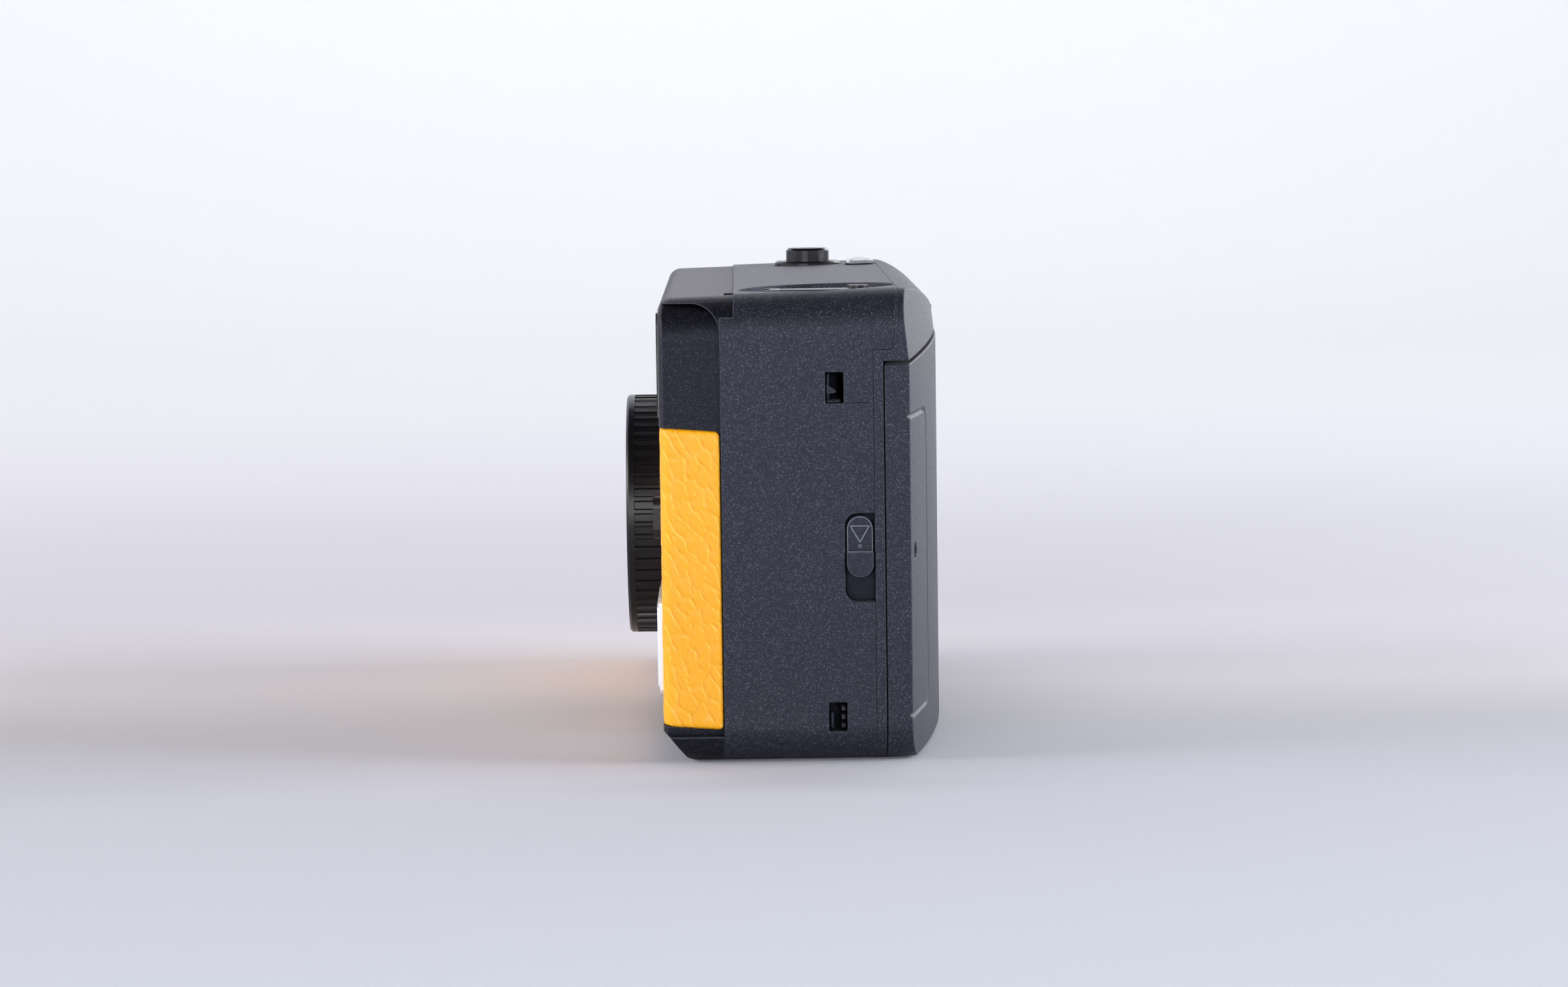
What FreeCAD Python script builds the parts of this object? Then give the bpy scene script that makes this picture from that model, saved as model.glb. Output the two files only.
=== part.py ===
import FreeCAD, Part
import os
import re

import Sketcher

# A 35 mm film camera with a built-in flash, in millimetres.
# X runs across the camera (+X is the holder's left), -Y is the lens side, +Y the film door, +Z up.
# The base lies on Z = 0, and the lens axis crosses X = 0.

SIZES = {
    # overall shell
    "body_width": 119.0,
    "front_reach": 17.6,
    "cover_depth": 8.5,
    "cover_tongue": 2.0,
    "tongue_drop": 3.4,
    "case_rear": 12.1,
    "rim_depth": 1.4,
    "door_gap": 0.13,
    "door_edge_depth": 3.5,
    "back_crown": 6.0,
    "top_height": 65.3,
    "top_slope": 1.5,
    "cover_step_down": 0.25,
    "top_edge_radius": 6.0,
    "bottom_edge_radius": 5.0,
    "front_edge_radius": 2.0,
    "wall": 1.8,
    "frame_clearance": 0.3,
    "part_gap": 0.05,
    "running_gap": 0.06,
    # front cover
    "chin_height": 4.6,
    "chin_setback": 4.5,
    "chin_lip": 1.0,
    "flank_step": 0.6,
    "flank_top": 63.9,
    "flank_bottom": 3.7,
    "flank_corner_radius": 4.0,
    "leather_bottom": 5.0,
    "leather_top": 46.6,
    "leather_tilt": 0.6,
    # badge plate
    "badge_inner_inset": 35.0,
    "badge_outer_inset": 9.0,
    "badge_bottom": 8.3,
    "badge_top": 22.2,
    "badge_border": 1.0,
    "badge_thickness": 0.55,
    "badge_step": 0.25,
    # lens
    "lens_height": 29.6,
    "ring_radius": 18.0,
    "ring_bore_radius": 15.8,
    "ring_height": 6.35,
    "ring_rim_width": 1.2,
    "ring_rim_round": 0.35,
    "ring_rib_height": 0.35,
    "ring_rib_width": 1.0,
    "ring_ribs": 60,
    "barrel_tube_radius": 11.7,
    "barrel_head_height": 4.4,
    "barrel_mouth_radius": 6.2,
    "lens_radius": 5.15,
    "shutter_plane_depth": 9.0,
    "aperture_radius": 1.5,
    "aperture_plate_thickness": 0.8,
    "blade_space": 1.6,
    "blade_thickness": 0.4,
    "blade_radius": 2.6,
    "blade_arm": 8.2,
    # film path
    "film_plane": 12.9,
    "gate_width": 36.0,
    "gate_height": 24.0,
    "tunnel_mouth_width": 16.0,
    "tunnel_mouth_height": 14.0,
    "chamber_wall": 1.0,
    "cassette_inset": 16.2,
    "cassette_y": 4.6,
    "cassette_bore_radius": 12.6,
    "chamber_floor": 4.4,
    "ceiling_drop": 4.14,
    "deck_thickness": 1.2,
    "spool_inset": 16.5,
    "spool_y": 4.0,
    "spool_bore_radius": 11.0,
    "spool_floor": 9.0,
    "spool_core_radius": 6.0,
    "spool_flange_radius": 10.4,
    "spool_flange_thickness": 1.0,
    "sprocket_x": -25.2,
    "sprocket_y": 6.25,
    "sprocket_radius": 5.6,
    "sprocket_tooth_height": 1.0,
    "sprocket_teeth": 8,
    "sprocket_bore_radius": 6.9,
    "film_height": 35.0,
    # film door
    "door_base_gap": 0.4,
    "door_top_drop": 2.08,
    "door_top_rise": 2.0,
    "door_top_gap": 0.5,
    "door_wall": 1.6,
    "hinge_inset": 2.1,
    "hinge_radius": 2.0,
    "hinge_pin_radius": 0.8,
    "plate_width": 60.0,
    "plate_height": 33.0,
    "plate_thickness": 1.0,
    "plate_gap": 0.3,
    "plate_post_radius": 2.2,
    "spring_rise": 2.6,
    "plate_post_place": 9.0,
    "door_rib_pitch": 4.3,
    "door_rib_width": 1.5,
    "door_rib_height": 0.3,
    "door_rib_start": 16.5,
    "door_rib_left": -45.0,
    "door_rib_right": -8.0,
    "thumb_panel_width": 16.8,
    "thumb_panel_bottom": 6.2,
    "thumb_panel_top": 48.4,
    "thumb_groove_width": 0.6,
    "thumb_groove_depth": 0.35,
    "pin_point_inset": 3.7,
    "pin_point_height": 29.1,
    "pin_point_radius": 1.1,
    "seal_left": -52.0,
    "seal_right": 56.0,
    "seal_width": 1.4,
    "seal_depth": 0.9,
    "seal_low_bottom": 1.9,
    "seal_top_drop": 1.56,
    "screw_gate_x": 22.5,
    "screw_wind_x": -15.0,
    "screw_low": 8.0,
    "screw_high": 50.5,
    "screw_head_radius": 1.8,
    "screw_head_height": 1.0,
    "screw_shank_radius": 0.9,
    # snap windows and strap recess
    "snap_window_front": 5.45,
    "snap_window_width": 2.55,
    "snap_upper_bottom": 50.0,
    "snap_upper_height": 4.3,
    "snap_lower_bottom": 4.27,
    "snap_lower_height": 4.11,
    "strap_height": 50.0,
    "strap_recess_height": 12.0,
    "strap_recess_width": 8.0,
    "strap_recess_depth": 3.2,
    "strap_recess_radius": 1.5,
    "strap_bar_inset": 1.2,
    "strap_bar_radius": 0.9,
    # upper back
    "jog_height": 57.34,
    "jog_depth": 2.7,
    "case_top_rear": 15.7,
    "back_lean": 1.1,
    "back_round_radius": 7.5,
    # side latch
    "latch_height": 30.1,
    "latch_slot_front": 7.95,
    "latch_slot_bottom": 22.4,
    "latch_slot_top": 34.7,
    "latch_slot_radius": 1.7,
    "latch_pill_width": 3.7,
    "latch_step_height": 3.45,
    "latch_pill_bottom": 25.85,
    "latch_pill_top": 34.3,
    "latch_travel": 3.3,
    # rewind crank
    "crank_recess_radius": 11.2,
    "crank_recess_depth": 4.2,
    "crank_disc_radius": 10.8,
    "crank_disc_thickness": 2.6,
    "rewind_shaft_radius": 2.2,
    "rewind_collar_radius": 3.6,
    "lever_pin_radius": 0.3,
    "knob_offset": 6.0,
    # shutter button
    "button_x": -42.0,
    "button_y": 4.9,
    "button_cap_radius": 3.45,
    "button_skirt_radius": 5.3,
    "button_top": 68.2,
    "button_travel": 1.0,
    "button_stem_radius": 1.6,
    "lever_reach": 16.0,
    # winding wheel
    "wheel_rise": 0.66,
    "wheel_thickness": 2.2,
    "wheel_reach": 22.8,
    "gear_module": 0.8,
    "wheel_teeth": 20,
    "spool_teeth": 8,
    "tooth_backlash": 0.5,
    # counter
    "counter_x": -36.5,
    "counter_y": 11.3,
    "counter_radius": 4.6,
    "counter_offset": 1.8,
    "counter_boss_radius": 1.1,
    # flash
    "flash_inset": 2.6,
    "flash_width": 32.4,
    "flash_bottom": 47.9,
    "flash_top": 62.7,
    "flash_proud": 0.25,
    "flash_thickness": 1.5,
    "capacitor_x": 23.6,
    "switch_x": 30.0,
    "switch_bottom": 28.8,
    "switch_top": 35.0,
    "switch_width": 7.0,
    "switch_travel": 4.0,
    "switch_stem_width": 4.4,
    # viewfinder
    "finder_width": 15.0,
    "finder_bottom": 55.0,
    "finder_top": 62.6,
    "finder_wall": 1.0,
    "lamp_x": 13.0,
    "lamp_height": 60.2,
    "lamp_radius": 1.5,
    # battery
    "battery_x": -27.5,
    "battery_y": -9.3,
    "battery_bore_radius": 5.45,
    "battery_length": 44.5,
    "battery_wall": 0.9,
    "battery_door_thickness": 1.6,
    "battery_door_recess": 0.25,
    "battery_door_gap": 0.15,
    "battery_door_half_width": 7.5,
    "battery_door_front": 6.2,
    "battery_door_rear": 8.2,
    # release button in the base
    "release_radius": 2.5,
    "release_flange_radius": 3.4,
}

# Places worked out from the sizes, so that they keep to the piece that they belong to
PLACES = {
    "cassette_x": "(body_width / 2 - cassette_inset)",
    "spool_x": "(spool_inset - body_width / 2)",
    "door_top": "(jog_height - door_top_drop)",
    "chamber_ceiling": "(jog_height - ceiling_drop)",
    "wheel_bottom": "(jog_height + wheel_rise)",
    "flash_right": "(body_width / 2 - flash_inset)",
    "flash_left": "(body_width / 2 - flash_inset - flash_width)",
}

document = FreeCAD.newDocument("FilmCamera")
sheet = document.addObject("Spreadsheet::Sheet", "Sizes")
for row, (word, size) in enumerate(SIZES.items(), start=1):
    sheet.set(f"A{row}", word)
    sheet.set(f"B{row}", str(size))
    sheet.setAlias(f"B{row}", word)
document.recompute()

KNOWN_WORDS = re.compile(r"\b(" + "|".join(SIZES) + r")\b")
PLACE_WORDS = re.compile(r"\b(" + "|".join(PLACES) + r")\b")
PARTS = {}


def linked(text):
    """An expression in words of the sheet, as the document understands it."""
    spelled_out = PLACE_WORDS.sub(lambda word: PLACES[word.group()], str(text))
    return KNOWN_WORDS.sub(r"Sizes.\1", spelled_out)


def bind(thing, **sizes):
    """Ties properties of a feature to expressions; a double underscore stands for a dot."""
    for name, text in sizes.items():
        thing.setExpression(name.replace("__", "."), linked(text))


def less(high, low):
    return f"({high}) - ({low})"


def finish(name, shape):
    """Names the finished sub-part, which also names its file."""
    shape.Label = name
    PARTS[name] = shape
    return shape


def box(name, x, y, z):
    """A block given by its low and high expressions on each axis."""
    block = document.addObject("Part::Box", name)
    bind(block, Length=less(x[1], x[0]), Width=less(y[1], y[0]), Height=less(z[1], z[0]),
         Placement__Base__x=x[0], Placement__Base__y=y[0], Placement__Base__z=z[0])
    return block


TURN = {
    "X": FreeCAD.Rotation(FreeCAD.Vector(0, 1, 0), 90),
    "Y": FreeCAD.Rotation(FreeCAD.Vector(1, 0, 0), -90),
    "Z": FreeCAD.Rotation(),
}


def rod(name, axis, centre, span, radius):
    """A cylinder along an axis: centre across it, low and high ends along it."""
    cylinder = document.addObject("Part::Cylinder", name)
    cylinder.Placement = FreeCAD.Placement(FreeCAD.Vector(), TURN[axis])
    bind(cylinder, Radius=radius, Height=less(span[1], span[0]))
    start = list(centre)
    start.insert("XYZ".index(axis), span[0])
    bind(cylinder, Placement__Base__x=start[0], Placement__Base__y=start[1], Placement__Base__z=start[2])
    return cylinder


def fuse(name, *shapes):
    union = document.addObject("Part::MultiFuse", name)
    union.Shapes = list(shapes)
    return union


def common(name, *shapes):
    overlap = document.addObject("Part::MultiCommon", name)
    overlap.Shapes = list(shapes)
    return overlap


def cut(name, base, *tools):
    """The base less the tools."""
    remainder = document.addObject("Part::Cut", name)
    remainder.Base = base
    remainder.Tool = tools[0] if len(tools) == 1 else fuse(name + "_tools", *tools)
    return remainder


def origin_plane(body, role):
    return [plane for plane in body.Origin.OriginFeatures if plane.Role == role][0]


def outline(body, name, plane, corners, offset="0"):
    """A closed sketch of straight lines through the corners, each coordinate tied to an expression."""
    sketch = body.newObject("Sketcher::SketchObject", name)
    sketch.AttachmentSupport = (origin_plane(body, plane + "_Plane"), [""])
    sketch.MapMode = "FlatFace"
    bind(sketch, AttachmentOffset__Base__z=offset)
    count = len(corners)
    guide = [FreeCAD.Vector(10 * index, (index * index) % 7, 0) for index in range(count)]
    for index in range(count):
        sketch.addGeometry(Part.LineSegment(guide[index], guide[(index + 1) % count]), False)
    for index in range(count):
        sketch.addConstraint(Sketcher.Constraint("Coincident", index, 2, (index + 1) % count, 1))
    for index, corner in enumerate(corners):
        for direction, text in zip(("DistanceX", "DistanceY"), corner):
            number = sketch.addConstraint(Sketcher.Constraint(direction, index, 1, 1.0))
            sketch.setExpression(f"Constraints[{number}]", linked(text))
    return sketch


def corner_edges(feature, sketch, indexes, axis):
    """The edges of a pad that stand on the given sketch corners."""
    across = [number for number in range(3) if number != axis]
    places = []
    for index in indexes:
        point = sketch.Placement.multVec(sketch.Geometry[index].StartPoint)
        places.append(point)
    names = []
    for number, edge in enumerate(feature.Shape.Edges, start=1):
        ends = [vertex.Point for vertex in edge.Vertexes]
        if len(ends) != 2:
            continue
        for place in places:
            if all(abs(end[side] - place[side]) < 1e-4 for end in ends for side in across):
                names.append(f"Edge{number}")
    return names


def prism(name, plane, corners, span, rounds=None):
    """A sketch padded from low to high along its plane's axis, with some corners rounded.
    rounds holds radius expressions, each with the indexes of its corners."""
    body = document.addObject("PartDesign::Body", name)
    low, high = span
    offset = f"-({high})" if plane == "XZ" else low
    sketch = outline(body, name + "_outline", plane, corners, offset)
    feature = body.newObject("PartDesign::Pad", name + "_pad")
    feature.Profile = sketch
    bind(feature, Length=less(high, low))
    axis = {"YZ": 0, "XZ": 1, "XY": 2}[plane]
    for number, (radius, indexes) in enumerate((rounds or {}).items()):
        document.recompute()
        fillet = body.newObject("PartDesign::Fillet", f"{name}_round_{number}")
        fillet.Base = (feature, corner_edges(feature, sketch, indexes, axis))
        bind(fillet, Radius=radius)
        feature = fillet
    return body


def rectangle(x, y):
    """Corners of a rectangle from two spans."""
    return [(x[0], y[0]), (x[1], y[0]), (x[1], y[1]), (x[0], y[1])]


def plate(name, plane, across, up, span, radius):
    """A flat plate with four rounded corners."""
    return prism(name, plane, rectangle(across, up), span, {radius: (0, 1, 2, 3)})


def turned(name, profile, place, rotation=None):
    """A turned piece: a half profile of radius and height, revolved about its own axis."""
    body = document.addObject("PartDesign::Body", name)
    sketch = outline(body, name + "_profile", "XZ", profile)
    revolution = body.newObject("PartDesign::Revolution", name + "_turned")
    revolution.Profile = sketch
    revolution.ReferenceAxis = (sketch, ["V_Axis"])
    revolution.Angle = 360
    if rotation:
        body.Placement = FreeCAD.Placement(FreeCAD.Vector(), rotation)
    bind(body, Placement__Base__x=place[0], Placement__Base__y=place[1], Placement__Base__z=place[2])
    return body


def around(body, feature, count, name):
    """Repeats a feature evenly round the body's own Z axis."""
    pattern = body.newObject("PartDesign::PolarPattern", name)
    pattern.Originals = [feature]
    pattern.Axis = (origin_plane(body, "Z_Axis"), [""])
    pattern.Angle = 360
    bind(pattern, Occurrences=count)
    body.Tip = pattern
    return pattern


# Places that several pieces share
SIDE = "(body_width / 2)"
FRONT = "(-front_reach)"
SEAM = "(cover_depth - front_reach)"
TOP_SEAM = f"({SEAM} + cover_tongue)"
RIM_BACK = "(case_rear + rim_depth)"
DOOR_FRONT = f"({RIM_BACK} + door_gap)"
BACK = f"({DOOR_FRONT} + door_edge_depth + back_crown)"
ABOVE = "(top_height + 10)"
CROWN_RADIUS = f"(({SIDE}) * ({SIDE}) / (2 * back_crown) + back_crown / 2)"
ARCH_RADIUS = f"(({SIDE}) * ({SIDE}) / (2 * door_top_rise) + door_top_rise / 2)"
JOG_REAR = "(case_rear + jog_depth)"
LEDGE_TOP = "(door_top + door_top_rise + door_top_gap + 0.3)"
INNER_FRONT = "(flank_step + wall - front_reach)"
INNER_TOP = "(top_height - wall)"
FORWARD = FreeCAD.Rotation(FreeCAD.Vector(1, 0, 0), 90)


def rounded_block(name, depth, inset="0", drop="0", soft_front=False):
    """The outer form between two depths, drawn in by an inset, with its long edges rounded."""
    body = document.addObject("PartDesign::Body", name)
    wedge = body.newObject("PartDesign::AdditiveWedge", name + "_wedge")
    half = f"{SIDE} - ({inset})"
    near_top = f"top_height + tan(top_slope) * ({depth[0]}) - ({inset}) - ({drop})"
    far_top = f"top_height + tan(top_slope) * ({depth[1]}) - ({inset}) - ({drop})"
    bind(wedge, Xmin=f"-({half})", Xmax=half, X2min=f"-({half})", X2max=half,
         Ymin=depth[0], Ymax=depth[1], Zmin=inset, Z2min=inset, Zmax=near_top, Z2max=far_top)
    document.recompute()
    feature = wedge
    middle = sheet.get("top_height") / 2
    for label, radius, upper in (("top", "top_edge_radius", True), ("bottom", "bottom_edge_radius", False)):
        names = []
        for number, edge in enumerate(feature.Shape.Edges, start=1):
            first, last = edge.Vertexes[0].Point, edge.Vertexes[-1].Point
            lengthwise = abs(first.y - last.y) > abs(first.z - last.z) + abs(first.x - last.x)
            cornerwise = abs(abs(first.x) - wedge.Xmax.Value) < 1e-6
            if lengthwise and cornerwise and (first.z > middle) == upper:
                names.append(f"Edge{number}")
        fillet = body.newObject("PartDesign::Fillet", f"{name}_{label}_round")
        fillet.Base = (feature, names)
        bind(fillet, Radius=f"{radius} - ({inset})")
        document.recompute()
        feature = fillet
    if soft_front:
        front = [f"Face{number}" for number, face in enumerate(feature.Shape.Faces, start=1)
                 if abs(face.BoundBox.YMax - wedge.Ymin.Value) < 1e-6]
        fillet = body.newObject("PartDesign::Fillet", f"{name}_front_round")
        fillet.Base = (feature, front)
        bind(fillet, Radius="front_edge_radius")
    return body


# front_cover: the moulded front shell with its chin and recessed leather seat
cover_form = rounded_block("cover_form", (FRONT, "cover_depth"), drop="cover_step_down", soft_front=True)
cover_side = prism("cover_side", "YZ", [
    (FRONT, "chin_height"),
    (FRONT, ABOVE),
    (TOP_SEAM, ABOVE),
    (TOP_SEAM, "top_height - tongue_drop"),
    (SEAM, "top_height - tongue_drop"),
    (SEAM, "0"),
    (f"{FRONT} + chin_setback", "0"),
    (f"{FRONT} + chin_setback - chin_lip - 0.2", "chin_lip * 0.6"),
    (f"{FRONT} + chin_lip", "chin_height - chin_lip"),
], (f"-({SIDE})", SIDE))
cover_hollow = rounded_block("cover_hollow", (INNER_FRONT, "cover_depth"), inset="wall",
                             drop="cover_step_down")
flank_core = rounded_block("flank_core", (f"{FRONT} - 2", "cover_depth"), inset="flank_step",
                           drop="cover_step_down")
flank_cuts = []
for side_name, inner, outer in (("left", f"{SIDE} - top_edge_radius", f"{SIDE} + 1"),
                                ("right", f"-({SIDE}) - 1", f"top_edge_radius - ({SIDE})")):
    flank_cuts.append(cut(f"flank_{side_name}", prism(f"flank_zone_{side_name}", "YZ", [
        (f"{FRONT} - 1", "flank_bottom"),
        (f"{SEAM}", "flank_bottom"),
        (f"{SEAM}", "flank_top"),
        (f"{FRONT} - 1", "flank_top"),
    ], (inner, outer), {"flank_corner_radius": (2,)}), flank_core))
leather_seat = plate("leather_seat", "XY", (f"-({SIDE}) + flank_step", f"{SIDE} - flank_step"),
                     (f"{FRONT} + flank_step", f"{SEAM} + 6"), ("leather_bottom - 1", "leather_top + 1"),
                     "front_edge_radius - flank_step")
leather_zone = prism("leather_zone", "YZ", [
    (FRONT, "leather_bottom + leather_tilt / 2"),
    (SEAM, "leather_bottom - leather_tilt / 2"),
    (SEAM, "leather_top - leather_tilt / 2"),
    (FRONT, "leather_top + leather_tilt / 2"),
], (f"-({SIDE})", SIDE))
leather_wrap = cut("leather_wrap", common("leather_band", cover_form, leather_zone), leather_seat)
FINDER_SIDE = "finder_width / 2"
lens_hole = rod("lens_hole", "Y", ("0", "lens_height"), (f"{FRONT} - 1", "cover_depth - front_reach"),
                "barrel_tube_radius + part_gap")
ring_seat = rod("ring_seat", "Y", ("0", "lens_height"), (f"{FRONT} - 1", f"{FRONT} + flank_step"),
                "ring_radius + 0.25")
flash_hole = plate("flash_hole", "XZ", ("flash_left", "flash_right"), ("flash_bottom", "flash_top"),
                   (f"{FRONT} - 1", INNER_FRONT + " + 1"), "front_edge_radius")
finder_hole = plate("finder_hole", "XZ", (f"-({FINDER_SIDE})", FINDER_SIDE),
                    ("finder_bottom", "finder_top"),
                    (f"{FRONT} - 1", INNER_FRONT + " + 1"), "front_edge_radius / 2")
switch_slot = box("switch_slot", ("switch_x - switch_stem_width / 2 - switch_travel",
                                  "switch_x + switch_stem_width / 2"),
                  (f"{FRONT} - 1", INNER_FRONT + " + 1"), ("switch_bottom + 2", "switch_top - 2"))
battery_notch = prism("battery_notch", "XY", rectangle(
    ("battery_x - battery_door_half_width", "battery_x + battery_door_half_width"),
    ("battery_y - battery_door_front", "battery_y + battery_door_rear")),
                      ("-1", "battery_door_thickness + battery_door_recess + 0.1"),
                      {"front_edge_radius / 2": (0, 1)})
battery_mouth = rod("battery_mouth", "Z", ("battery_x", "battery_y"), ("-1", "wall + 4"),
                    "battery_bore_radius + battery_wall + part_gap")
top_snap = box("top_snap", (f"{SIDE} - 13", f"{SIDE} - 6.5"), (f"{TOP_SEAM} - 1.3", f"{TOP_SEAM} + 0.1"),
               ("top_height - 3.5", ABOVE))
front_cover = cut("front_cover_cut", common("cover_shell", cover_form, cover_side), cover_hollow,
                  *flank_cuts,
                  leather_wrap, ring_seat, lens_hole, flash_hole, finder_hole, switch_slot, battery_notch,
                  battery_mouth,
                  top_snap)
finish("front_cover", front_cover)

# leatherette: the grained sheet glued round the front and both flanks
ring_clearance = rod("ring_clearance", "Y", ("0", "lens_height"), (f"{FRONT} - 1", SEAM),
                     "ring_radius + 0.25")
SWITCH_LEFT = "switch_x - switch_width / 2 - switch_travel - 1.2"
SWITCH_RIGHT = "switch_x + switch_width / 2 + 1.2"
switch_clearance = plate("switch_clearance", "XZ", (SWITCH_LEFT, SWITCH_RIGHT),
                         ("switch_bottom - 1.6", "switch_top + 1.4"), (f"{FRONT} - 1", INNER_FRONT),
                         "front_edge_radius")
leather_outer = rounded_block("leather_outer", (FRONT, "cover_depth"), soft_front=True)
finish("leatherette", cut("leatherette_cut", common("leather_sheet", leather_outer, leather_zone),
                          leather_seat, ring_clearance, switch_clearance))

# badge_plate: a bare raised plate glued to the leather
badge_base = plate("badge_base", "XZ", (f"{SIDE} - badge_inner_inset", f"{SIDE} - badge_outer_inset"),
                   ("badge_bottom", "badge_top"), (f"{FRONT} - badge_thickness", FRONT),
                   "front_edge_radius / 2")
badge_face = plate("badge_face", "XZ", (f"{SIDE} - badge_inner_inset + badge_border",
                                        f"{SIDE} - badge_outer_inset - badge_border"),
                   ("badge_bottom + badge_border", "badge_top - badge_border"),
                   (f"{FRONT} - badge_thickness - badge_step", f"{FRONT} - badge_thickness + part_gap"),
                   "front_edge_radius / 2 - 0.4")
finish("badge_plate", fuse("badge", badge_base, badge_face))

# front_case: the middle case with top, base, ends, crank cup and openings
case_form = rounded_block("case_form", (f"{SEAM} - 1", "case_top_rear + 2"))
case_side = prism("case_side", "YZ", [
    (SEAM, "0"),
    ("case_rear", "0"),
    ("case_rear", "jog_height"),
    (JOG_REAR, "jog_height"),
    ("case_top_rear", "top_height + 0.6"),
    ("case_top_rear", ABOVE),
    (TOP_SEAM, ABOVE),
    (TOP_SEAM, "top_height - tongue_drop"),
    (SEAM, "top_height - tongue_drop"),
], (f"-({SIDE})", SIDE))
case_hollow = rounded_block("case_hollow", (f"{SEAM} - 2", "case_top_rear + 4"), inset="wall")
CRANK_FLOOR = "top_height - crank_recess_depth"
crank_cup = common("crank_cup", rod("crank_cup_rod", "Z", ("cassette_x", "cassette_y"),
                                    (f"{CRANK_FLOOR} - 1.4", ABOVE), "crank_recess_radius + 1.2"),
                   case_form, case_side)
crank_recess = rod("crank_recess", "Z", ("cassette_x", "cassette_y"), (CRANK_FLOOR, ABOVE),
                   "crank_recess_radius")
crank_hole = rod("crank_hole", "Z", ("cassette_x", "cassette_y"), (f"{CRANK_FLOOR} - 3", ABOVE),
                 "rewind_collar_radius + running_gap")
button_hole = rod("button_hole", "Z", ("button_x", "button_y"), (f"{INNER_TOP} - 2", ABOVE),
                  "button_skirt_radius + part_gap")
counter_hole = plate("counter_hole", "XY", ("counter_x - 4.2", "counter_x + 4.2"),
                     ("counter_y - 0.5", "counter_y + 4.1"), (f"{INNER_TOP} - 2", ABOVE), "1.2")
counter_boss = rod("counter_boss", "Z", ("counter_x", "counter_y - counter_offset"),
                   (f"{INNER_TOP} - 1.1", f"{INNER_TOP} + 0.3"),
                   "counter_boss_radius")
snap_windows = []
for label, side_span in (("left", (f"{SIDE} - wall - 0.2", f"{SIDE} + 1")),
                         ("right", (f"-({SIDE}) - 1", f"-({SIDE}) + wall + 0.2"))):
    for level in ("upper", "lower"):
        snap_windows.append(box(f"snap_{level}_{label}", side_span,
                                ("snap_window_front", "snap_window_front + snap_window_width"),
                                (f"snap_{level}_bottom", f"snap_{level}_bottom + snap_{level}_height")))
latch_slot = prism("latch_slot", "YZ", rectangle(("latch_slot_front", "case_rear + 1"),
                                                 ("latch_slot_bottom", "latch_slot_top")),
                   (f"{SIDE} - wall - 0.2", f"{SIDE} + 1"), {"latch_slot_radius": (0, 3)})
base_button_hole = rod("base_button_hole", "Z", ("sprocket_x", "sprocket_y"), ("-1", "wall + 1"),
                       "release_radius + 0.1")
strap_recess = plate("strap_recess", "YZ", ("-strap_recess_width / 2", "strap_recess_width / 2"),
                     ("strap_height - strap_recess_height / 2", "strap_height + strap_recess_height / 2"),
                     (f"-({SIDE}) - 1", f"-({SIDE}) + strap_recess_depth"), "strap_recess_radius")
strap_cup = box("strap_cup", (f"-({SIDE}) + 0.5", f"-({SIDE}) + strap_recess_depth + 1"),
                ("-strap_recess_width / 2 - 1", "strap_recess_width / 2 + 1"),
                ("strap_height - strap_recess_height / 2 - 1",
                 "strap_height + strap_recess_height / 2 + 1"))
STRAP_BAR_PLACE = (f"-({SIDE}) + strap_bar_inset", "0")
STRAP_BAR_SPAN = ("strap_height - strap_recess_height / 2 - 0.8",
                  "strap_height + strap_recess_height / 2 + 0.8")
strap_bar_hole = rod("strap_bar_hole", "Z", STRAP_BAR_PLACE, STRAP_BAR_SPAN, "strap_bar_radius")
case_shell = cut("case_shell", common("case_block", case_form, case_side), case_hollow)
front_case = cut("front_case_cut", fuse("case_with_cup", case_shell, crank_cup, counter_boss, strap_cup),
                 crank_recess,
                 crank_hole, button_hole, counter_hole, *snap_windows, latch_slot, base_button_hole,
                 strap_recess, strap_bar_hole, battery_notch, battery_mouth)
finish("front_case", front_case)

def leaning_back(name, inset):
    """The upper back's form, drawn in by an inset: its crown is a steep cone that leans in as it rises,
    and its top corner is rounded most in the middle, where the crown stands out furthest."""
    crown = document.addObject("Part::Cone", name + "_crown")
    bind(crown, Radius1=f"{CROWN_RADIUS} - ({inset})", Height=f"{ABOVE} - door_top",
         Radius2=f"{CROWN_RADIUS} - ({inset}) - back_lean * ({ABOVE} - door_top) / (top_height - door_top)",
         Placement__Base__y=f"{BACK} - ({CROWN_RADIUS})", Placement__Base__z="door_top")
    reach = f"({BACK} - ({inset}))"
    front = "(case_rear - 6)"
    return common(name, crown, prism(name + "_round", "YZ", [
        (front, "door_top"),
        (reach, "door_top"),
        (f"{reach} - back_lean", f"top_height + tan(top_slope) * ({reach} - back_lean) - ({inset})"),
        (front, f"top_height + tan(top_slope) * {front} - ({inset})"),
    ], (f"-{SIDE}", SIDE), {f"back_round_radius - ({inset})": (2,)}))


def crown_drum(name, inset):
    """The crown of the back alone, drawn in by an inset: an upright drum of large radius."""
    return rod(name, "Z", ("0", f"{BACK} - ({CROWN_RADIUS})"), ("-5", ABOVE), f"{CROWN_RADIUS} - ({inset})")


def door_arch(name, gap, span):
    """The space below the door's arched top edge."""
    return rod(name, "Y", ("0", f"door_top + door_top_rise - ({ARCH_RADIUS})"), span,
               f"{ARCH_RADIUS} + ({gap})")


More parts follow.
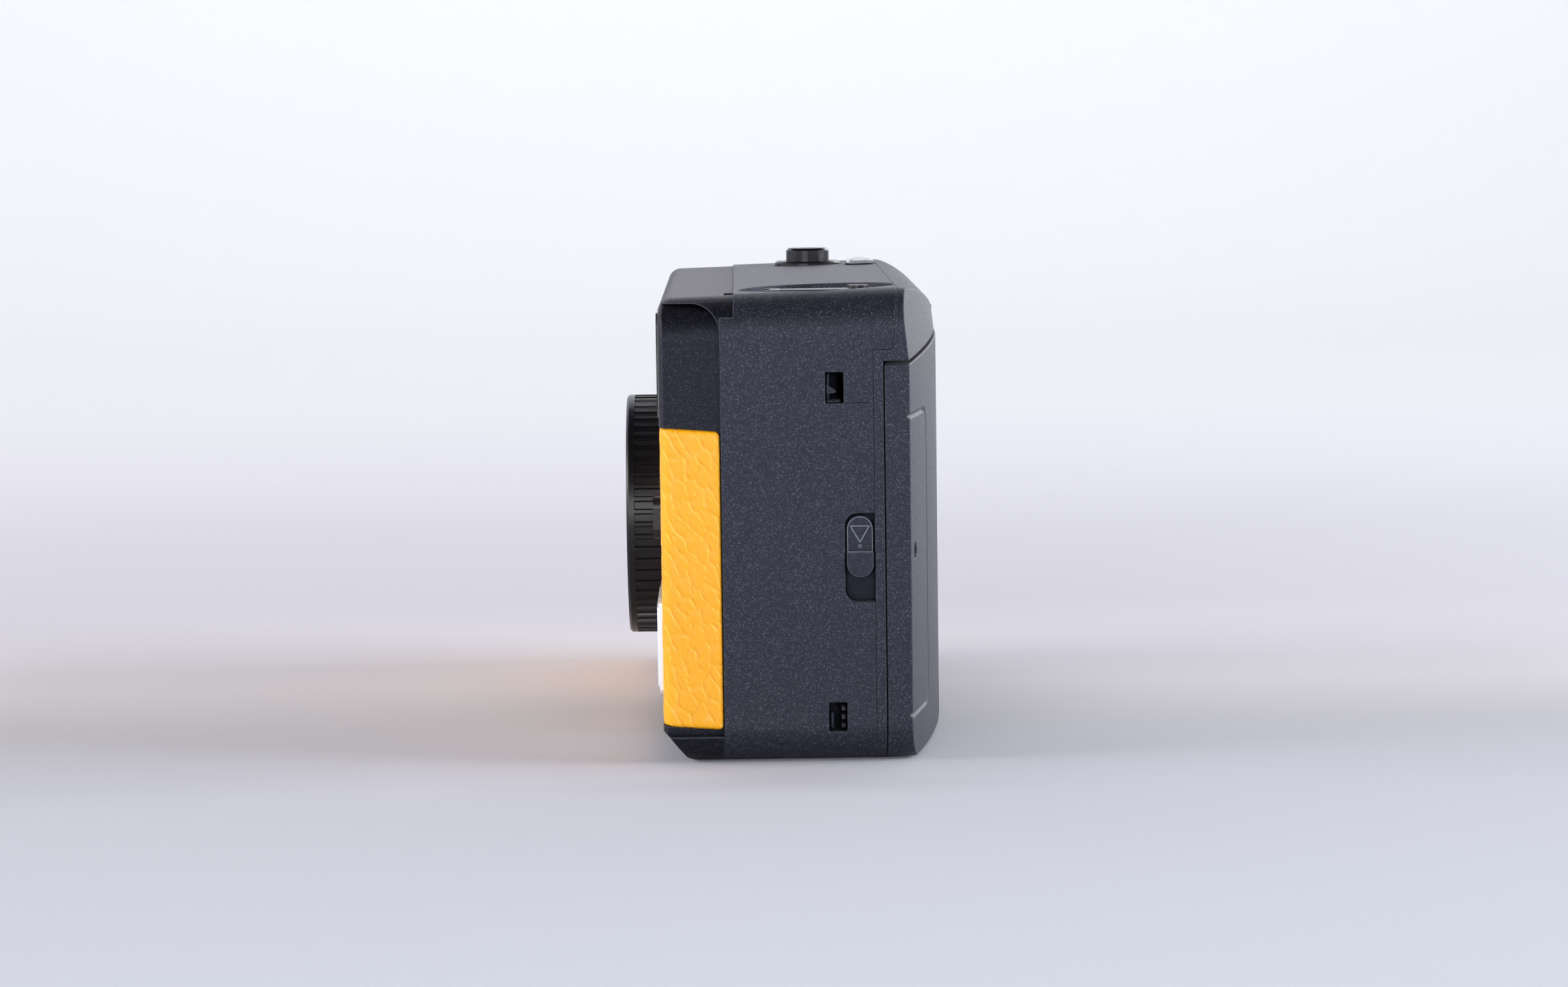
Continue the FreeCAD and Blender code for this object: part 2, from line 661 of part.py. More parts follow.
# rear_body: rim strip, upper back, film chambers, film gate and light tunnel
rear_form = rounded_block("rear_form", ("case_rear - 4", f"{BACK} + 1"))
rear_outer = fuse("rear_outer", common("rear_upper", rear_form, leaning_back("rear_back", "0")),
                  common("rear_rim", rear_form, box("rear_rim_box", (f"-{SIDE}", SIDE),
                                                    ("case_rear - 1", RIM_BACK),
                                                    ("-1", "jog_height"))))
rear_side = prism("rear_side", "YZ", [
    ("case_rear", "-1"),
    (f"{BACK} + 2", "-1"),
    (f"{BACK} + 2", ABOVE),
    ("case_top_rear", ABOVE),
    ("case_top_rear", "top_height + 0.6"),
    (JOG_REAR, "jog_height"),
    ("case_rear", "jog_height"),
], (f"-({SIDE}) - 1", f"{SIDE} + 1"))
door_space = common("door_space", door_arch("door_space_arch", "door_top_gap", (RIM_BACK, f"{BACK} + 3")),
                    box("door_space_box", (f"-({SIDE}) - 1", f"{SIDE} + 1"), (RIM_BACK, f"{BACK} + 3"),
                        ("-1", "jog_height + 5")))
upper_hollow = common("upper_hollow", rounded_block("upper_hollow_form", ("case_rear - 6", f"{BACK} + 1"),
                                                    inset="wall"),
                      leaning_back("upper_hollow_back", "wall"),
                      box("upper_hollow_box", (f"-({SIDE}) + wall", f"{SIDE} - wall"),
                          ("case_rear - 5", BACK), (f"{LEDGE_TOP} + 0.7", ABOVE)))
rear_shell = cut("rear_shell", common("rear_block", rear_outer, rear_side), door_space, upper_hollow)

FRAME_SIDE = f"({SIDE} - wall - frame_clearance)"
CASSETTE_OUTER = "(cassette_bore_radius + chamber_wall)"
SPOOL_OUTER = "(spool_bore_radius + chamber_wall)"
SPROCKET_OUTER = "(sprocket_bore_radius + chamber_wall)"
frame_plate = rounded_block("frame_plate", ("case_rear - 1.5", "case_rear + 0.5"),
                            inset="wall + frame_clearance")
frame_trim = box("frame_trim", (f"-({SIDE})", SIDE), ("case_rear - 3", "case_rear + 1"),
                 ("chamber_ceiling + deck_thickness", ABOVE))
frame_back = cut("frame_back", frame_plate, frame_trim)
cassette_shell = rod("cassette_shell", "Z", ("cassette_x", "cassette_y"),
                     ("chamber_floor - deck_thickness", "chamber_ceiling + deck_thickness"), CASSETTE_OUTER)
cassette_trim = box("cassette_trim", (f"cassette_x - {CASSETTE_OUTER} - 1", FRAME_SIDE),
                    (f"cassette_y - {CASSETTE_OUTER} - 1", "case_rear"),
                    ("chamber_floor - deck_thickness - 1", "chamber_ceiling + deck_thickness + 1"))
spool_shell = rod("spool_shell", "Z", ("spool_x", "spool_y"),
                  ("spool_floor - deck_thickness", "chamber_ceiling + deck_thickness"), SPOOL_OUTER)
spool_trim = box("spool_trim", (f"spool_x - {SPOOL_OUTER} - 1", f"spool_x + {SPOOL_OUTER} + 1"),
                 (f"spool_y - {SPOOL_OUTER} - 1", "case_rear"),
                 ("spool_floor - deck_thickness - 1", "chamber_ceiling + deck_thickness + 1"))
sprocket_shell = rod("sprocket_shell", "Z", ("sprocket_x", "sprocket_y"),
                     ("spool_floor - deck_thickness", "chamber_ceiling + deck_thickness"), SPROCKET_OUTER)
sprocket_trim = box("sprocket_trim", (f"sprocket_x - {SPROCKET_OUTER} - 1",
                                      f"sprocket_x + {SPROCKET_OUTER} + 1"),
                    (f"sprocket_y - {SPROCKET_OUTER} - 1", "case_rear"),
                    ("spool_floor - deck_thickness - 1", "chamber_ceiling + deck_thickness + 1"))


def tunnel(name, spread, near, far):
    """A four-sided funnel from the shutter to the film gate, wider all round by the spread."""
    funnel = document.addObject("Part::Wedge", name)
    near_half = f"tunnel_mouth_width / 2 + ({spread})"
    near_rise = f"tunnel_mouth_height / 2 + ({spread})"
    far_half = f"gate_width / 2 + ({spread})"
    far_rise = f"gate_height / 2 + ({spread})"
    bind(funnel, Xmin=f"-({near_half})", Xmax=near_half, Zmin=f"lens_height - ({near_rise})",
         Zmax=f"lens_height + {near_rise}", X2min=f"-({far_half})", X2max=far_half,
         Z2min=f"lens_height - ({far_rise})", Z2max=f"lens_height + {far_rise}", Ymin=near, Ymax=far)
    return funnel


SHUTTER_PLANE = "-shutter_plane_depth"
tunnel_shell = tunnel("tunnel_shell", "deck_thickness", SHUTTER_PLANE, "case_rear")
tunnel_bore = tunnel("tunnel_bore", "0", f"{SHUTTER_PLANE} + deck_thickness", f"{RIM_BACK}")
shutter_plate = box("shutter_plate", ("-14", "14"), (SHUTTER_PLANE, f"{SHUTTER_PLANE} + deck_thickness"),
                    ("lens_height - 13", "lens_height + 13"))
shutter_hole = rod("shutter_hole", "Y", ("0", "lens_height"), (f"{SHUTTER_PLANE} - 1", "0"),
                   "blade_radius + 2.6")
gate_through = box("gate_through", ("-gate_width / 2", "gate_width / 2"),
                   ("case_rear - 1", f"{RIM_BACK} + 1"),
                   ("lens_height - gate_height / 2", "lens_height + gate_height / 2"))
film_channel = box("film_channel", (f"spool_x - spool_bore_radius", "cassette_x + cassette_bore_radius"),
                   ("film_plane", f"{RIM_BACK} + 1"),
                   ("lens_height - film_height / 2 - 0.3", "lens_height + film_height / 2 + 0.3"))
cassette_bore = rod("cassette_bore", "Z", ("cassette_x", "cassette_y"),
                    ("chamber_floor", "chamber_ceiling"),
                    "cassette_bore_radius")
cassette_mouth = box("cassette_mouth", ("cassette_x - cassette_bore_radius",
                                        "cassette_x + cassette_bore_radius"),
                     ("cassette_y", f"{RIM_BACK} + 1"), ("chamber_floor", "chamber_ceiling"))
spool_bore = rod("spool_bore", "Z", ("spool_x", "spool_y"), ("spool_floor", "chamber_ceiling"),
                 "spool_bore_radius")
spool_mouth = box("spool_mouth", ("spool_x - spool_bore_radius", "spool_x + spool_bore_radius"),
                  ("spool_y", f"{RIM_BACK} + 1"), ("spool_floor", "chamber_ceiling"))
sprocket_bore = rod("sprocket_bore", "Z", ("sprocket_x", "sprocket_y"), ("spool_floor", "chamber_ceiling"),
                    "sprocket_bore_radius")
sprocket_mouth = box("sprocket_mouth", ("sprocket_x - sprocket_bore_radius", "-gate_width / 2 - 1.2"),
                     ("sprocket_y", f"{RIM_BACK} + 1"), ("spool_floor", "chamber_ceiling"))
spool_pivot_hole = rod("spool_pivot_hole", "Z", ("spool_x", "spool_y"),
                       ("spool_floor - 3", "chamber_ceiling + 3"), "2 + running_gap")
sprocket_pivot_hole = rod("sprocket_pivot_hole", "Z", ("sprocket_x", "sprocket_y"),
                          ("spool_floor - 3", "chamber_ceiling + 3"), "1.5 + running_gap")
rewind_hole = rod("rewind_hole", "Z", ("cassette_x", "cassette_y"),
                  ("chamber_ceiling - 1", "chamber_ceiling + 3"),
                  "rewind_collar_radius + running_gap")
spool_foot_hole = rod("spool_foot_hole", "Z", ("cassette_x", "cassette_y"),
                      ("chamber_floor - 3", "chamber_floor + 1"), "3.5")
LATCH_INNER = f"({SIDE} - wall - 1.3)"
latch_pocket = box("latch_pocket", (f"{LATCH_INNER} - 0.05", f"{SIDE} - wall"),
                   ("latch_slot_front - 0.4", "case_rear"),
                   ("latch_slot_bottom - latch_travel - 5", "latch_pill_top + 4"))
latch_rim_slot = box("latch_rim_slot", (f"{LATCH_INNER} - 0.05", f"{SIDE} - wall"),
                     ("case_rear - 2", f"{RIM_BACK} + 1"),
                     ("latch_height - 5.5", "latch_height + 3"))
WHEEL_RADIUS = "gear_module * wheel_teeth / 2 + gear_module * 0.8"
WHEEL_Y = f"wheel_reach - ({WHEEL_RADIUS})"
GEAR_DISTANCE = "gear_module * (wheel_teeth + spool_teeth) / 2"
WHEEL_X = f"spool_x + sqrt(({GEAR_DISTANCE}) ^ 2 - ({WHEEL_Y} - spool_y) ^ 2)"
wheel_slot = rod("wheel_slot", "Z", (WHEEL_X, WHEEL_Y), ("wheel_bottom - 0.3",
                                                         "wheel_bottom + wheel_thickness + 0.3"),
                 f"{WHEEL_RADIUS} + 0.6")
axle_seat = rod("axle_seat", "Z", (WHEEL_X, WHEEL_Y), ("jog_height", "wheel_bottom"), "1.2")
finder_back_hole = box("finder_back_hole", (f"-({FINDER_SIDE}) - part_gap", f"{FINDER_SIDE} + part_gap"),
                       ("case_rear + 2", f"{BACK} + 2"), (LEDGE_TOP, "finder_top + part_gap"))
lamp_hole = rod("lamp_hole", "Y", ("lamp_x", "lamp_height"), ("case_rear + 4", f"{BACK} + 2"),
                "lamp_radius + part_gap")
HINGE_X = f"-({SIDE}) + hinge_inset"
HINGE_Y = f"{DOOR_FRONT} + hinge_radius"
hinge_pin_hole = rod("hinge_pin_hole", "Z", (HINGE_X, HINGE_Y), ("jog_height - 3", "jog_height + 0.2"),
                     "hinge_pin_radius")
hinge_ear = fuse("hinge_ear", box("ear_web", (f"{HINGE_X} - hinge_radius", f"{HINGE_X} + hinge_radius"),
                                  ("case_rear", HINGE_Y), ("door_base_gap", "3.0")),
                 rod("ear_round", "Z", (HINGE_X, HINGE_Y), ("door_base_gap", "3.0"), "hinge_radius - 0.1"))
base_ear = common("base_ear", hinge_ear, rounded_block("hinge_ear_form", ("case_rear - 1", BACK)))
ear_hole = rod("ear_hole", "Z", (HINGE_X, HINGE_Y), ("1.2", "4"), "hinge_pin_radius")
SEAL_SPANS = (("low", ("seal_low_bottom", "seal_low_bottom + seal_width")),
              ("high", ("door_top - seal_top_drop", "door_top - seal_top_drop + seal_width")))
seal_grooves = [box(f"seal_groove_{label}", ("seal_left", "seal_right"),
                    (f"{RIM_BACK} - seal_depth", f"{RIM_BACK} + 1"), span) for label, span in SEAL_SPANS]
screw_holes = []
SCREW_PLACES = {f"{side}_{level}": (f"screw_{side}_x", f"screw_{level}")
                for side in ("gate", "wind") for level in ("low", "high")}
for label, (screw_x, screw_z) in SCREW_PLACES.items():
    screw_holes.append(rod(f"screw_seat_{label}", "Y", (screw_x, screw_z),
                           (f"{RIM_BACK} - screw_head_height - 0.2", f"{RIM_BACK} + 1"),
                           "screw_head_radius + 0.1"))
    screw_holes.append(rod(f"screw_bore_{label}", "Y", (screw_x, screw_z),
                           ("case_rear - 5", f"{RIM_BACK} + 1"),
                           "screw_shank_radius"))
LUG_LEFT_ROOT = f"cassette_x + {CASSETTE_OUTER} - 1.1"
LUG_RIGHT_ROOT = f"spool_x - {SPOOL_OUTER} + 0.8"
UPPER_LUG = (("snap_window_front + 0.1", "snap_window_front + 0.6"),
             ("snap_upper_bottom + 0.2", "snap_upper_bottom + snap_upper_height - 0.2"))
snap_lugs = [box("lug_upper_left", (LUG_LEFT_ROOT, f"{SIDE} - 1.1"), *UPPER_LUG),
             box("lug_upper_right", (f"-({SIDE}) + 0.6", LUG_RIGHT_ROOT), *UPPER_LUG),
             prism("lug_hook", "YZ", [
                 ("snap_window_front + 0.1", "snap_upper_bottom + 2.7"),
                 ("snap_window_front + 0.1", "snap_upper_bottom + 1.2"),
                 ("snap_window_front + 1.5", "snap_upper_bottom + 1.4"),
                 ("snap_window_front + 1.5", "snap_upper_bottom + 1.8"),
             ], (LUG_LEFT_ROOT, f"{SIDE} - 0.5")),
             box("lug_sill", (LUG_LEFT_ROOT, f"{SIDE} - 0.4"),
                 ("snap_window_front + 0.1", "snap_window_front + snap_window_width - 0.4"),
                 ("snap_upper_bottom + 0.05", "snap_upper_bottom + 0.4")),
             box("lug_lower_left", (LUG_LEFT_ROOT, f"{SIDE} - 1.0"),
                 ("snap_window_front + 0.2", "snap_window_front + 0.7"),
                 ("snap_lower_bottom + 0.3", "snap_lower_bottom + 2.6"))]
snap_lugs += [box(f"lug_tooth_{number}", (LUG_LEFT_ROOT, f"{SIDE} - 0.9"),
                  ("snap_window_front + 1.75", "snap_window_front + snap_window_width - 0.15"),
                  (f"snap_lower_bottom + 0.4 + {number} * 1.2",
                   f"snap_lower_bottom + 1.1 + {number} * 1.2"))
              for number in range(3)]
lever_post = box("lever_post", ("button_x + lever_reach - 1.2", "button_x + lever_reach + 1.2"),
                 ("0.5", "2.2"),
                 ("chamber_ceiling + deck_thickness - 0.3", f"{INNER_TOP} - 0.8"))
post_bore = rod("post_bore", "Y", ("button_x + lever_reach", f"{INNER_TOP} - 1.7"), ("0", "3"), "0.5")
rear_solid = fuse("rear_solid", rear_shell, frame_back, *snap_lugs, lever_post,
                  common("cassette_wall", cassette_shell, cassette_trim),
                  common("spool_wall", spool_shell, spool_trim),
                  common("sprocket_wall", sprocket_shell, sprocket_trim), tunnel_shell, shutter_plate,
                  base_ear)
rear_body = cut("rear_body_cut", rear_solid, tunnel_bore, shutter_hole, gate_through, film_channel,
                cassette_bore,
                cassette_mouth, spool_bore, spool_mouth, sprocket_bore, sprocket_mouth, spool_pivot_hole,
                sprocket_pivot_hole, rewind_hole, spool_foot_hole, latch_pocket, latch_rim_slot,
                wheel_slot, axle_seat,
                finder_back_hole, lamp_hole, hinge_pin_hole, ear_hole, post_bore, *seal_grooves,
                *screw_holes)
finish("rear_body", rear_body)

# light_seals: two strips of black foam in the grooves round the film chambers
finish("light_seals", fuse("seal_strips", *[
    box(f"seal_{label}", ("seal_left + 0.1", "seal_right - 0.1"),
        (f"{RIM_BACK} - seal_depth", f"{RIM_BACK} + door_gap / 2"), span) for label, span in SEAL_SPANS]))

# case_screws: four pan-head screws that hold the rear body to the case, one node of separate solids
screws = []
for label, (screw_x, screw_z) in SCREW_PLACES.items():
    head = rod(f"screw_head_{label}", "Y", (screw_x, screw_z),
               (f"{RIM_BACK} - screw_head_height - 0.2", f"{RIM_BACK} - 0.2"), "screw_head_radius")
    shank = rod(f"screw_shank_{label}", "Y", (screw_x, screw_z), ("case_rear - 1.5", f"{RIM_BACK} - 0.6"),
                "screw_shank_radius")
    screws.append(fuse(f"screw_{label}", head, shank))
finish("case_screws", fuse("screws", *screws))

# back_door: the crowned film door with its hinge barrel and plate posts
door_outer = common("door_outer", rounded_block("door_form", ("case_rear", f"{BACK} + 1")),
                    crown_drum("door_crown", "0"), door_arch("door_top_arch", "0", (DOOR_FRONT, BACK)),
                    box("door_box", (HINGE_X, SIDE), (DOOR_FRONT, BACK), ("door_base_gap", "jog_height")))
door_hollow = common("door_hollow", rounded_block("door_hollow_form", ("case_rear", f"{BACK} + 1"),
                                                  inset="door_wall"),
                     crown_drum("door_hollow_crown", "door_wall"),
                     door_arch("door_hollow_arch", "-door_wall", (f"{DOOR_FRONT} - 1", BACK)),
                     box("door_hollow_box", (f"{HINGE_X} + hinge_radius + 0.6",
                                             f"{SIDE} - door_wall - 0.8"),
                         (f"{DOOR_FRONT} - 1", BACK), ("door_wall + 3", "jog_height")))
hinge_barrel = common("hinge_barrel", rod("hinge_barrel_rod", "Z", (HINGE_X, HINGE_Y),
                                          ("door_base_gap", "jog_height"),
                                          "hinge_radius"),
                      door_arch("barrel_arch", "0", (DOOR_FRONT, BACK)))
barrel_notch = box("barrel_notch", (f"-({SIDE}) - 1", f"{HINGE_X} + 2.6"),
                   ("case_rear", f"{HINGE_Y} + 1.9"),
                   ("-1", "3.25"))
pin_bore = rod("pin_bore", "Z", (HINGE_X, HINGE_Y), ("-1", "jog_height + 5"),
               "hinge_pin_radius + running_gap")
PLATE_FRONT = "film_plane + plate_gap"
PLATE_BACK = f"{PLATE_FRONT} + plate_thickness"
POST_END = f"{PLATE_BACK} + spring_rise"
plate_posts = [common(f"plate_post_{label}",
                      rod(f"post_rod_{label}", "Y", (place, "lens_height"), (POST_END, BACK),
                          "plate_post_radius"),
                      crown_drum(f"post_crown_{label}", "0.5"))
               for label, place in (("left", "plate_post_place"), ("right", "-plate_post_place"))]
door_shell = cut("door_shell", door_outer, door_hollow)
door_ribs = []
for number in range(7):
    centre = f"door_rib_start + {number} * door_rib_pitch"
    door_ribs.append(box(f"door_rib_{number}", ("door_rib_left", "door_rib_right"),
                         (DOOR_FRONT, f"{BACK} + 1"),
                         (f"{centre} - door_rib_width / 2", f"{centre} + door_rib_width / 2")))
thumb_groove = cut("thumb_groove",
                   plate("thumb_outer", "XZ", (f"{SIDE} - thumb_panel_width", f"{SIDE} + 4"),
                         ("thumb_panel_bottom", "thumb_panel_top"), (DOOR_FRONT, f"{BACK} + 1"), "3"),
                   plate("thumb_inner", "XZ", (f"{SIDE} - thumb_panel_width + thumb_groove_width",
                                               f"{SIDE} + 5"),
                         ("thumb_panel_bottom + thumb_groove_width",
                          "thumb_panel_top - thumb_groove_width"),
                         (DOOR_FRONT, f"{BACK} + 1"), "3 - thumb_groove_width"),
                   crown_drum("thumb_depth", "thumb_groove_depth"))
pin_point = rod("pin_point", "Y", (f"{SIDE} - pin_point_inset", "pin_point_height"),
                (f"{DOOR_FRONT} + door_edge_depth - 0.2", BACK), "pin_point_radius")
rib_block = cut("rib_block", common("door_rib_faces", fuse("door_rib_bars", *door_ribs),
                                    crown_drum("rib_crown", "-door_rib_height")),
                                    crown_drum("rib_floor", "0.2"))
back_door = cut("back_door_cut", fuse("door_with_barrel", door_shell, hinge_barrel, rib_block,
                                      *plate_posts),
                barrel_notch, pin_bore, thumb_groove, pin_point)
finish("back_door", back_door)

# hinge_pin: the steel pin through the door's barrel, held above and below by the rear body
finish("hinge_pin", rod("hinge_pin_rod", "Z", (HINGE_X, HINGE_Y), ("1.2", "jog_height + 0.2"),
                        "hinge_pin_radius"))

# pressure_plate and its leaf spring, which hold the film flat
PLATE_SIDE = "plate_width / 2"
finish("pressure_plate", plate("pressure_plate_pad", "XZ", (f"-({PLATE_SIDE})", PLATE_SIDE),
                               ("lens_height - plate_height / 2", "lens_height + plate_height / 2"),
                               (PLATE_FRONT, PLATE_BACK), "2"))
finish("pressure_spring", prism("pressure_spring_leaf", "XY", [
    ("-24", PLATE_BACK), ("-22", PLATE_BACK), ("-14", f"{POST_END} - 0.3"), ("14", f"{POST_END} - 0.3"),
    ("22", PLATE_BACK), ("24", PLATE_BACK), ("14.2", POST_END), ("-14.2", POST_END)],
    ("lens_height - 4", "lens_height + 4")))

# lens_ring: the ribbed ring round the lens
ring = turned("ring_body", [
    ("ring_bore_radius", "0"),
    ("ring_radius - ring_rib_height", "0"),
    ("ring_radius - ring_rib_height", "ring_height - ring_rim_width"),
    ("ring_radius", "ring_height - ring_rim_width"),
    ("ring_radius", "ring_height - ring_rim_round"),
    ("ring_radius - ring_rim_round", "ring_height"),
    ("ring_bore_radius", "ring_height"),
], ("0", f"{FRONT} + flank_step", "lens_height"), FORWARD)
rib_sketch = outline(ring, "ring_rib_outline", "XY", [
    ("ring_radius - ring_rib_height * 1.5", "-ring_rib_width / 2"),
    ("ring_radius", "-ring_rib_width / 4"),
    ("ring_radius", "ring_rib_width / 4"),
    ("ring_radius - ring_rib_height * 1.5", "ring_rib_width / 2"),
])
ring_rib = ring.newObject("PartDesign::Pad", "ring_rib")
ring_rib.Profile = rib_sketch
bind(ring_rib, Length="ring_height - ring_rim_width")
document.recompute()
around(ring, ring_rib, "ring_ribs", "ring_rib_pattern")
finish("lens_ring", ring)

# lens stack: barrel, two lens elements, retainer, aperture plate and shutter blade
LENS_BASE = ("0", SHUTTER_PLANE, "lens_height")
TUBE_START = "blade_space + aperture_plate_thickness"
SEAT_HEIGHT = "front_reach - flank_step - shutter_plane_depth"
finish("lens_barrel", turned("barrel_body", [
    ("lens_radius - 0.9", TUBE_START),
    ("barrel_tube_radius", TUBE_START),
    ("barrel_tube_radius", SEAT_HEIGHT),
    ("ring_bore_radius - part_gap", SEAT_HEIGHT),
    ("ring_bore_radius - part_gap", f"{SEAT_HEIGHT} + barrel_head_height"),
    ("ring_bore_radius - 1.1", f"{SEAT_HEIGHT} + barrel_head_height"),
    ("barrel_mouth_radius", f"{SEAT_HEIGHT} + 1.4"),
    ("lens_radius + part_gap", f"{SEAT_HEIGHT} + 1.4"),
    ("lens_radius + part_gap", f"{TUBE_START} + 3.4"),
    ("lens_radius - 0.9", f"{TUBE_START} + 3.4"),
], LENS_BASE, FORWARD))
finish("front_lens", turned("front_lens_body", [
    ("0", f"{TUBE_START} + 4.0"),
    ("lens_radius - 0.9", f"{TUBE_START} + 3.4"),
    ("lens_radius", f"{TUBE_START} + 3.4"),
    ("lens_radius", f"{TUBE_START} + 5.0"),
    ("lens_radius * 0.75", f"{TUBE_START} + 5.7"),
    ("lens_radius * 0.4", f"{TUBE_START} + 6.3"),
    ("0", f"{TUBE_START} + 6.5"),
], LENS_BASE, FORWARD))
finish("lens_retainer", turned("lens_retainer_body", [
    ("lens_radius * 0.84", f"{TUBE_START} + 5.55"),
    ("lens_radius", f"{TUBE_START} + 5.05"),
    ("lens_radius", f"{SEAT_HEIGHT} + 1.0"),
    ("lens_radius * 0.84", f"{SEAT_HEIGHT} + 1.0"),
], LENS_BASE, FORWARD))
finish("rear_lens", turned("rear_lens_body", [
    ("0", f"{TUBE_START} + 0.1"),
    ("lens_radius - 0.95", f"{TUBE_START} + 0.3"),
    ("lens_radius - 0.95", f"{TUBE_START} + 1.5"),
    ("0", f"{TUBE_START} + 1.9"),
], LENS_BASE, FORWARD))
finish("aperture_plate", turned("aperture_plate_body", [
    ("aperture_radius", "blade_space"),
    ("barrel_tube_radius - 1", "blade_space"),
    ("barrel_tube_radius - 1", "0"),
    ("barrel_tube_radius", "0"),
    ("barrel_tube_radius", TUBE_START),
    ("aperture_radius", TUBE_START),
], LENS_BASE, FORWARD))
BLADE_BACK = f"{SHUTTER_PLANE} - blade_space / 2 + blade_thickness / 2"
BLADE_FRONT = f"{BLADE_BACK} - blade_thickness"
blade_disc = rod("blade_disc", "Y", ("0", "lens_height"), (BLADE_FRONT, BLADE_BACK), "blade_radius")
blade_bar = box("blade_bar", ("-blade_arm", "0"), (BLADE_FRONT, BLADE_BACK),
                ("lens_height - 0.8", "lens_height + 0.8"))
blade_boss = rod("blade_boss", "Y", ("-blade_arm", "lens_height"), (BLADE_FRONT, BLADE_BACK), "1.2")
blade_bore = rod("blade_bore", "Y", ("-blade_arm", "lens_height"), (f"{SHUTTER_PLANE} - 2", "0"),
                 "0.5 + running_gap")
finish("shutter_blade", cut("shutter_blade_cut", fuse("blade", blade_disc, blade_bar, blade_boss),
                            blade_bore))
finish("blade_pin", rod("blade_pin_rod", "Y", ("-blade_arm", "lens_height"),
                        (f"{SHUTTER_PLANE} - blade_space", SHUTTER_PLANE), "0.5"))

# flash: clear window, reflector trough, discharge tube, capacitor and circuit board
FLASH_FRONT = f"{FRONT} - flash_proud"
finish("flash_window", plate("flash_window_plate", "XZ",
                             ("flash_left + part_gap", "flash_right - part_gap"),
                             ("flash_bottom + part_gap", "flash_top - part_gap"),
                             (FLASH_FRONT, f"{FLASH_FRONT} + flash_thickness"), "front_edge_radius"))
REFLECTOR_FRONT = f"{FLASH_FRONT} + flash_thickness"
reflector_outer = plate("reflector_outer", "XZ", ("flash_left + 2", "flash_right - 2.5"),
                        ("flash_bottom + 1.2", "flash_top - 1.6"),
                        (REFLECTOR_FRONT, f"{REFLECTOR_FRONT} + 6.2"), "1.5")
reflector_trough = rod("reflector_trough", "X", (f"{REFLECTOR_FRONT} - 0.9",
                                                 "(flash_bottom + flash_top) / 2"),
                       ("flash_left + 2.6", "flash_right - 3.1"), "5.6")
finish("flash_reflector", cut("flash_reflector_cut", reflector_outer, reflector_trough))
finish("flash_tube", rod("flash_tube_rod", "X", (f"{REFLECTOR_FRONT} + 3.1",
                                                 "(flash_bottom + flash_top) / 2"),
                         ("flash_left + 2.6", "flash_right - 3.1"), "1.5"))
BOARD_FRONT = f"cassette_y - ({CASSETTE_OUTER}) - 1.3"
finish("flash_board", plate("flash_board_plate", "XZ", ("capacitor_x + 4", f"{SIDE} - 4"), ("8", "46"),
                            (BOARD_FRONT, f"{BOARD_FRONT} + 1.2"), "1"))
finish("flash_capacitor", turned("capacitor_body", [
    ("0", "0"), ("3.6", "0"), ("3.9", "0.4"), ("3.9", "25.6"), ("3.6", "26"), ("3.4", "25.4"),
    ("0", "25.4"),
], ("capacitor_x", "-10.9", "wall + part_gap")))

# flash_switch and the plate that it slides in
SWITCH_SEAT = f"{FRONT} + flank_step"
finish("switch_plate", cut("switch_plate_cut",
                           plate("switch_plate_pad", "XZ",
                                 (f"{SWITCH_LEFT} + part_gap", f"{SWITCH_RIGHT} - part_gap"),
                                 ("switch_bottom - 1.6 + part_gap", "switch_top + 1.4 - part_gap"),
                                 (f"{FRONT} - 0.1", SWITCH_SEAT), "front_edge_radius"),
                           box("switch_plate_slot", ("switch_x - switch_stem_width / 2 - switch_travel",
                                                     "switch_x + switch_stem_width / 2"),
                               (f"{FRONT} - 1", SWITCH_SEAT + " + 1"),
                               ("switch_bottom + 2", "switch_top - 2"))))
switch_knob = plate("switch_knob", "XZ", ("switch_x - switch_width / 2", "switch_x + switch_width / 2"),
                    ("switch_bottom", "switch_top"), (f"{FRONT} - 1.5", f"{FRONT} - 0.15"), "1.6")
switch_grips = [box(f"switch_grip_{number}", (f"switch_x - 2.2 + {number} * 1.4",
                                              f"switch_x - 1.6 + {number} * 1.4"),
                    (f"{FRONT} - 2", f"{FRONT} - 1.1"), ("switch_bottom - 1",
                                                         "switch_top + 1")) for number in range(4)]
switch_stem = box("switch_stem", ("switch_x - 2", "switch_x + 2"),
                  (f"{FRONT} - 0.5", f"{INNER_FRONT} + 0.3"),
                  ("switch_bottom + 2.1", "switch_top - 2.1"))
finish("flash_switch", fuse("switch_piece", cut("switch_cap", switch_knob, *switch_grips), switch_stem))

# viewfinder: front window, tube and rear eyepiece
finish("viewfinder_window", plate("viewfinder_window_plate", "XZ",
                                  (f"-({FINDER_SIDE}) + part_gap", f"{FINDER_SIDE} - part_gap"),
                                  ("finder_bottom + part_gap", "finder_top - part_gap"),
                                  (f"{FRONT} + 0.3", f"{FRONT} + 1.5"), "front_edge_radius / 2"))
TUBE_BACK = "case_rear + 5.5"
finish("viewfinder_tube", cut("finder_tube_cut",
                              box("finder_tube_outer", (f"-({FINDER_SIDE})", FINDER_SIDE),
                                  (f"{FRONT} + 2.5", TUBE_BACK),
                                  (LEDGE_TOP, "finder_top")),
                              box("finder_tube_inner", (f"-({FINDER_SIDE}) + finder_wall",
                                                        f"{FINDER_SIDE} - finder_wall"),
                                  (f"{FRONT} + 1", "case_rear + 8"),
                                  (f"{LEDGE_TOP} + finder_wall", "finder_top - finder_wall"))))
